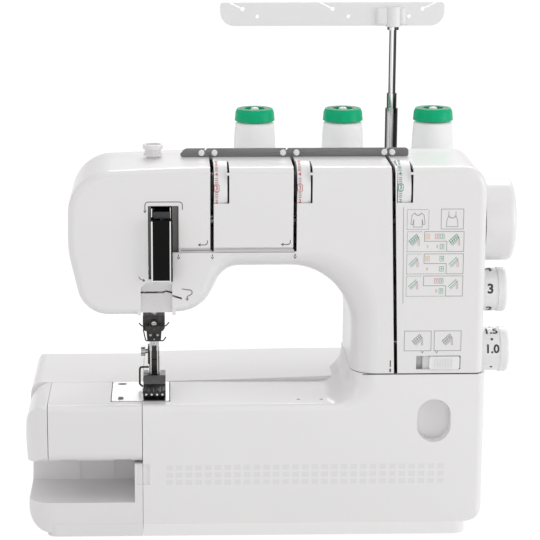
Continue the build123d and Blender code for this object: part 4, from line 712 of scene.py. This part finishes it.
def screw_head(bm, place, facing, r, kind):
    """A domed screw head, placed in millimetres and facing along a direction; its slot or cross is returned as
    flat dark bars of painted shade.
    """
    turn = Vector(facing).to_track_quat("Z", "Y").to_matrix().to_4x4()
    matrix = Matrix.Translation(Vector(place) * MM) @ turn
    made = bmesh.ops.create_cone(bm, cap_ends=True, segments=28, radius1=r * MM, radius2=r * 0.82 * MM,
                                 depth=r * 0.5 * MM, matrix=matrix @ Matrix.Translation((0, 0, r * 0.2 * MM)))
    top = max({face for vert in made["verts"] for face in vert.link_faces},
              key=lambda face: (matrix.inverted() @ face.calc_center_median()).z)
    bmesh.ops.inset_region(bm, faces=[top], thickness=r * 0.12 * MM, depth=r * 0.06 * MM)
    arms = ((1.3, 0.26),) if kind == "slot" else ((1.0, 0.26), (0.26, 1.0))
    # painted shade: flat dark bars stand in for the cut slot or cross
    dark = bmesh.new()
    for wide, high in arms:
        size = Matrix.Diagonal((wide * r * MM, high * r * MM, r * 0.08 * MM, 1))
        bmesh.ops.create_cube(dark, size=1.0, matrix=matrix @ Matrix.Translation((0, 0, r * 0.50 * MM)) @ size)
    return dark


def screws(name, body, finish, heads):
    """Screw heads of one body, with the painted shade of their driver slots as a second piece."""
    bm = bmesh.new()
    dark = bmesh.new()
    for place, facing, r, kind in heads:
        join(dark, screw_head(bm, place, facing, r, kind))
    add_piece(bm, name, finish, body)
    add_piece(dark, name + "_slots", "ink_and_shade_dark", body)


def all_screws():
    """Screws of the needle plate, the needle clamp, the back and the underside."""
    screws("needle_plate_screw", "machine", "strip", [((-119, -80, 110.4), (0, 0, 1), 2.4, "slot")])
    screws("clamp_screws", "needle_carriage", "steel",
           [((-92.0, -65.5, 169.0), (0, -1, 0), 2.4, "slot"), ((-94.9, -62.0, 158.4), (0, -1, 0), 1.1, "cross"),
            ((-89.1, -62.0, 158.4), (0, -1, 0), 1.1, "cross")])
    rear = [((x, 0.0, z), (0, 1, 0), 3.2, "cross") for x, z in ((-128, 268), (20, 284), (150, 284), (150, 150))]
    rear += [((x, 69.0, z), (0, 1, 0), 3.2, "cross") for x, z in ((-80, 30), (150, 34))]
    screws("rear_screws", "machine", "steel", rear)
    under = [((x, y, 0.8), (0, 0, -1), 1.5, "cross") for x in (-60, 40, 118) for y in (-66, 24)]
    screws("underside_screws", "machine", "steel", under)


def take_up_trim():
    """Bright strips round the black take-up cover and the grey wall beside it."""
    bm = bmesh.new()
    soft_block(bm, -93.5, -92.1, -107.5, -99.0, 214.2, 261.6, 0.4)
    soft_block(bm, -79.0, -77.9, -107.5, -104.0, 214.2, 261.8, 0.3)
    soft_block(bm, -93.5, -77.9, -107.5, -104.0, 213.2, 214.4, 0.3)
    soft_block(bm, -93.4, -92.4, -100.5, -99.0, 263.4, 270.6, 0.3)
    soft_block(bm, -78.7, -78.0, -100.5, -99.0, 258.6, 271.4, 0.3)
    add_piece(bm, "take_up_bright_edges", "bright", "machine")
    edge = bmesh.new()
    soft_block(edge, -77.9, -76.7, -107.4, -104.0, 213.4, 261.8, 0.3)
    add_piece(edge, "take_up_dark_edge", "satin_black", "machine")
    liner = bmesh.new()
    soft_block(liner, -77.2, -71.7, -93.5, -91.5, 233.0, 272.0, 0.3)
    soft_block(liner, -95.75, -93.6, -95.5, -94.3, 214.2, 272.0, 0.3)
    add_piece(liner, "take_up_side_wall", "grey_wall", "machine")
    plug = bmesh.new()
    block(plug, -106.6, -102.1, -100.02, -97.0, 198.4, 202.4)
    add_piece(plug, "thread_slit_stop", "shell", "machine")


def clamp_holes():
    """Painted shade of the screw holes in the needle clamp's face, as flat dark discs."""
    bm = bmesh.new()
    for x, z in ((-96.6, 172.6), (-87.4, 172.6), (-95.8, 165.0), (-88.2, 165.0), (-92.0, 163.4)):
        front_disc(bm, x, -63.05, z, 1.25, 16)
    add_piece(bm, "clamp_screw_hole_shade", "ink_and_shade_dark", "needle_carriage")


def plate_marks():
    """A short guide line beside the foot and the shaded oval slot in the needle plate."""
    bm = bmesh.new()
    block(bm, -101.8, -101.2, -66.0, -50.0, 110.38, 110.46)
    add_piece(bm, "plate_guide_line", "ink_and_shade_grey", "machine")
    slot = bmesh.new()
    bmesh.ops.create_circle(slot, cap_ends=True, segments=24, radius=MM,
                            matrix=Matrix.Translation(Vector((-118.6, -38.0, 110.43)) * MM)
                            @ Matrix.Diagonal((3.8, 2.4, 1.0, 1.0)))
    add_piece(slot, "plate_slot_shade", "ink_and_shade_dark", "machine")


def foot_beads():
    """Four polished rivets across the foot's toe."""
    bm = bmesh.new()
    for step in range(4):
        place = Vector((-98.4 + 4.3 * step, -87.0, 115.6)) * MM
        bmesh.ops.create_uvsphere(bm, u_segments=16, v_segments=10, radius=1.05 * MM,
                                  matrix=Matrix.Translation(place))
    add_piece(bm, "foot_rivets", "bright", "foot", smooth=True)


def dial_index_bumps():
    """Small white pointers at the right edge of each tension dial's window."""
    bm = bmesh.new()
    for x in (-34.2, 30.7, 109.3):
        soft_block(bm, x, x + 3.2, -100.4, -97.2, 296.2, 297.9, 0.35)
    add_piece(bm, "dial_pointers", "shell", "machine")


def column_seam():
    """The shadow lines where the column's cover stands on the base and in the groove between the slots."""
    bm = bmesh.new()
    ink_bar(bm, 74.0, 166.6, 134.7, 135.3)
    add_piece(bm, "column_seam_shadow", "ink_and_shade_dark", "machine")
    deep, soft = bmesh.new(), bmesh.new()
    ink_bar(deep, -70.3, -46.0, 236.3, 237.3)
    ink_bar(soft, -43.4, 18.4, 235.6, 237.4)
    add_piece(deep, "groove_shadow_left", "ink_and_shade_grey", "machine")
    add_piece(soft, "groove_shadow_right", "soft_shade", "machine")


def selector_liner():
    """The floor of the selector's slot, behind its slide plate."""
    bm = bmesh.new()
    block(bm, 108.0, 160.0, -93.2, -92.4, 135.5, 152.5)
    add_piece(bm, "selector_slot_floor", "shell", "machine")


def switch_marks():
    """The bar and ring on the power switch's two ends."""
    bm = bmesh.new()
    block(bm, 173.6, 174.4, 21.6, 22.4, 85.2, 90.0)
    rocked = Matrix.Rotation(math.radians(90 - 7.6), 4, "Y")
    lean = Matrix.Translation(Vector((171.95, 22.0, 74.6)) * MM) @ rocked
    ring = bmesh.ops.create_cone(bm, cap_ends=False, segments=24, radius1=2.2 * MM, radius2=2.2 * MM,
                                 depth=0.16 * MM, matrix=lean)
    faces = list({face for vert in ring["verts"] for face in vert.link_faces})
    bmesh.ops.solidify(bm, geom=faces, thickness=0.5 * MM)
    add_piece(bm, "switch_marks", "shell", "switch")


# Studio

def studio():
    """Pale floor, even room light, soft lights and the photograph's camera."""
    floor_mesh = bmesh.new()
    bmesh.ops.create_grid(floor_mesh, x_segments=1, y_segments=1, size=14.0)
    mesh = bpy.data.meshes.new("studio_floor")
    floor_mesh.to_mesh(mesh)
    floor_mesh.free()
    floor = bpy.data.objects.new("studio_floor", mesh)
    scene.collection.objects.link(floor)
    paint = bpy.data.materials.new("studio_floor_white")
    paint.use_nodes = True
    tree = paint.node_tree
    tree.nodes.clear()
    bounce = tree.nodes.new("ShaderNodeBsdfDiffuse")
    bounce.inputs["Color"].default_value = (0.8, 0.8, 0.8, 1)
    seen = tree.nodes.new("ShaderNodeBsdfDiffuse")
    seen.inputs["Color"].default_value = (0.09, 0.09, 0.09, 1)
    glow = tree.nodes.new("ShaderNodeEmission")
    glow.inputs["Strength"].default_value = 0.97
    together = tree.nodes.new("ShaderNodeAddShader")
    tree.links.new(seen.outputs[0], together.inputs[0])
    tree.links.new(glow.outputs[0], together.inputs[1])
    path = tree.nodes.new("ShaderNodeLightPath")
    camera_or_mirror = math_node(tree, "MAXIMUM", path.outputs["Is Camera Ray"], path.outputs["Is Glossy Ray"])
    sight = math_node(tree, "MAXIMUM", camera_or_mirror, path.outputs["Is Transmission Ray"])
    switch = tree.nodes.new("ShaderNodeMixShader")
    tree.links.new(sight, switch.inputs[0])
    tree.links.new(bounce.outputs[0], switch.inputs[1])
    tree.links.new(together.outputs[0], switch.inputs[2])
    out = tree.nodes.new("ShaderNodeOutputMaterial")
    tree.links.new(switch.outputs[0], out.inputs["Surface"])
    mesh.materials.append(paint)

    world = bpy.data.worlds.new("studio_world")
    scene.world = world
    world.use_nodes = True
    tree = world.node_tree
    tree.nodes.clear()
    air = tree.nodes.new("ShaderNodeBackground")
    air.inputs["Color"].default_value = (1.0, 0.99, 0.985, 1)
    air.inputs["Strength"].default_value = 0.655
    white = tree.nodes.new("ShaderNodeBackground")
    white.inputs["Color"].default_value = (1, 1, 1, 1)
    path = tree.nodes.new("ShaderNodeLightPath")
    switch = tree.nodes.new("ShaderNodeMixShader")
    tree.links.new(path.outputs["Is Camera Ray"], switch.inputs[0])
    tree.links.new(air.outputs[0], switch.inputs[1])
    tree.links.new(white.outputs[0], switch.inputs[2])
    out = tree.nodes.new("ShaderNodeOutputWorld")
    tree.links.new(switch.outputs[0], out.inputs["Surface"])

    for name, place, aim, size, energy in (
            ("softbox_top", (-0.2, -0.6, 2.1), (0, -0.05, 0.2), 1.6, 5.5),
            ("softbox_low", (0.1, -1.7, 0.12), (0, -0.05, 0.08), 1.0, 2.4),
            ("softbox_left", (-1.7, -1.2, 0.9), (0, -0.05, 0.2), 1.2, 4.0),
            ("softbox_right", (1.9, -0.8, 0.6), (0, -0.05, 0.2), 1.2, 13.0),
            ("softbox_back", (0.4, 1.6, 1.6), (0, 0, 0.25), 1.4, 22.0)):
        light = bpy.data.lights.new(name, "AREA")
        light.shape = "SQUARE"
        light.size = size
        light.energy = energy
        lamp = bpy.data.objects.new(name, light)
        lamp.location = place
        lamp.rotation_euler = (Vector(aim) - Vector(place)).to_track_quat("-Z", "Y").to_euler()
        scene.collection.objects.link(lamp)

    lens = bpy.data.cameras.new("photo_camera")
    lens.lens = 133.33
    lens.sensor_width = 36.0
    lens.shift_x = 0.0979
    camera = bpy.data.objects.new("photo_camera", lens)
    camera.location = (-0.080, -1.6298, 0.5743)
    camera.rotation_euler = (math.radians(77), 0, math.radians(-1.43))
    scene.collection.objects.link(camera)
    scene.camera = camera
    scene.view_settings.view_transform = "Standard"


threading_marks()
stitch_chart()
dial_figures()
wound_thread()
spool_wells()
guide_bar_flanks()
presser_coil()
all_screws()
take_up_trim()
clamp_holes()
plate_marks()
foot_beads()
dial_index_bumps()
column_seam()
selector_liner()
switch_marks()
studio()
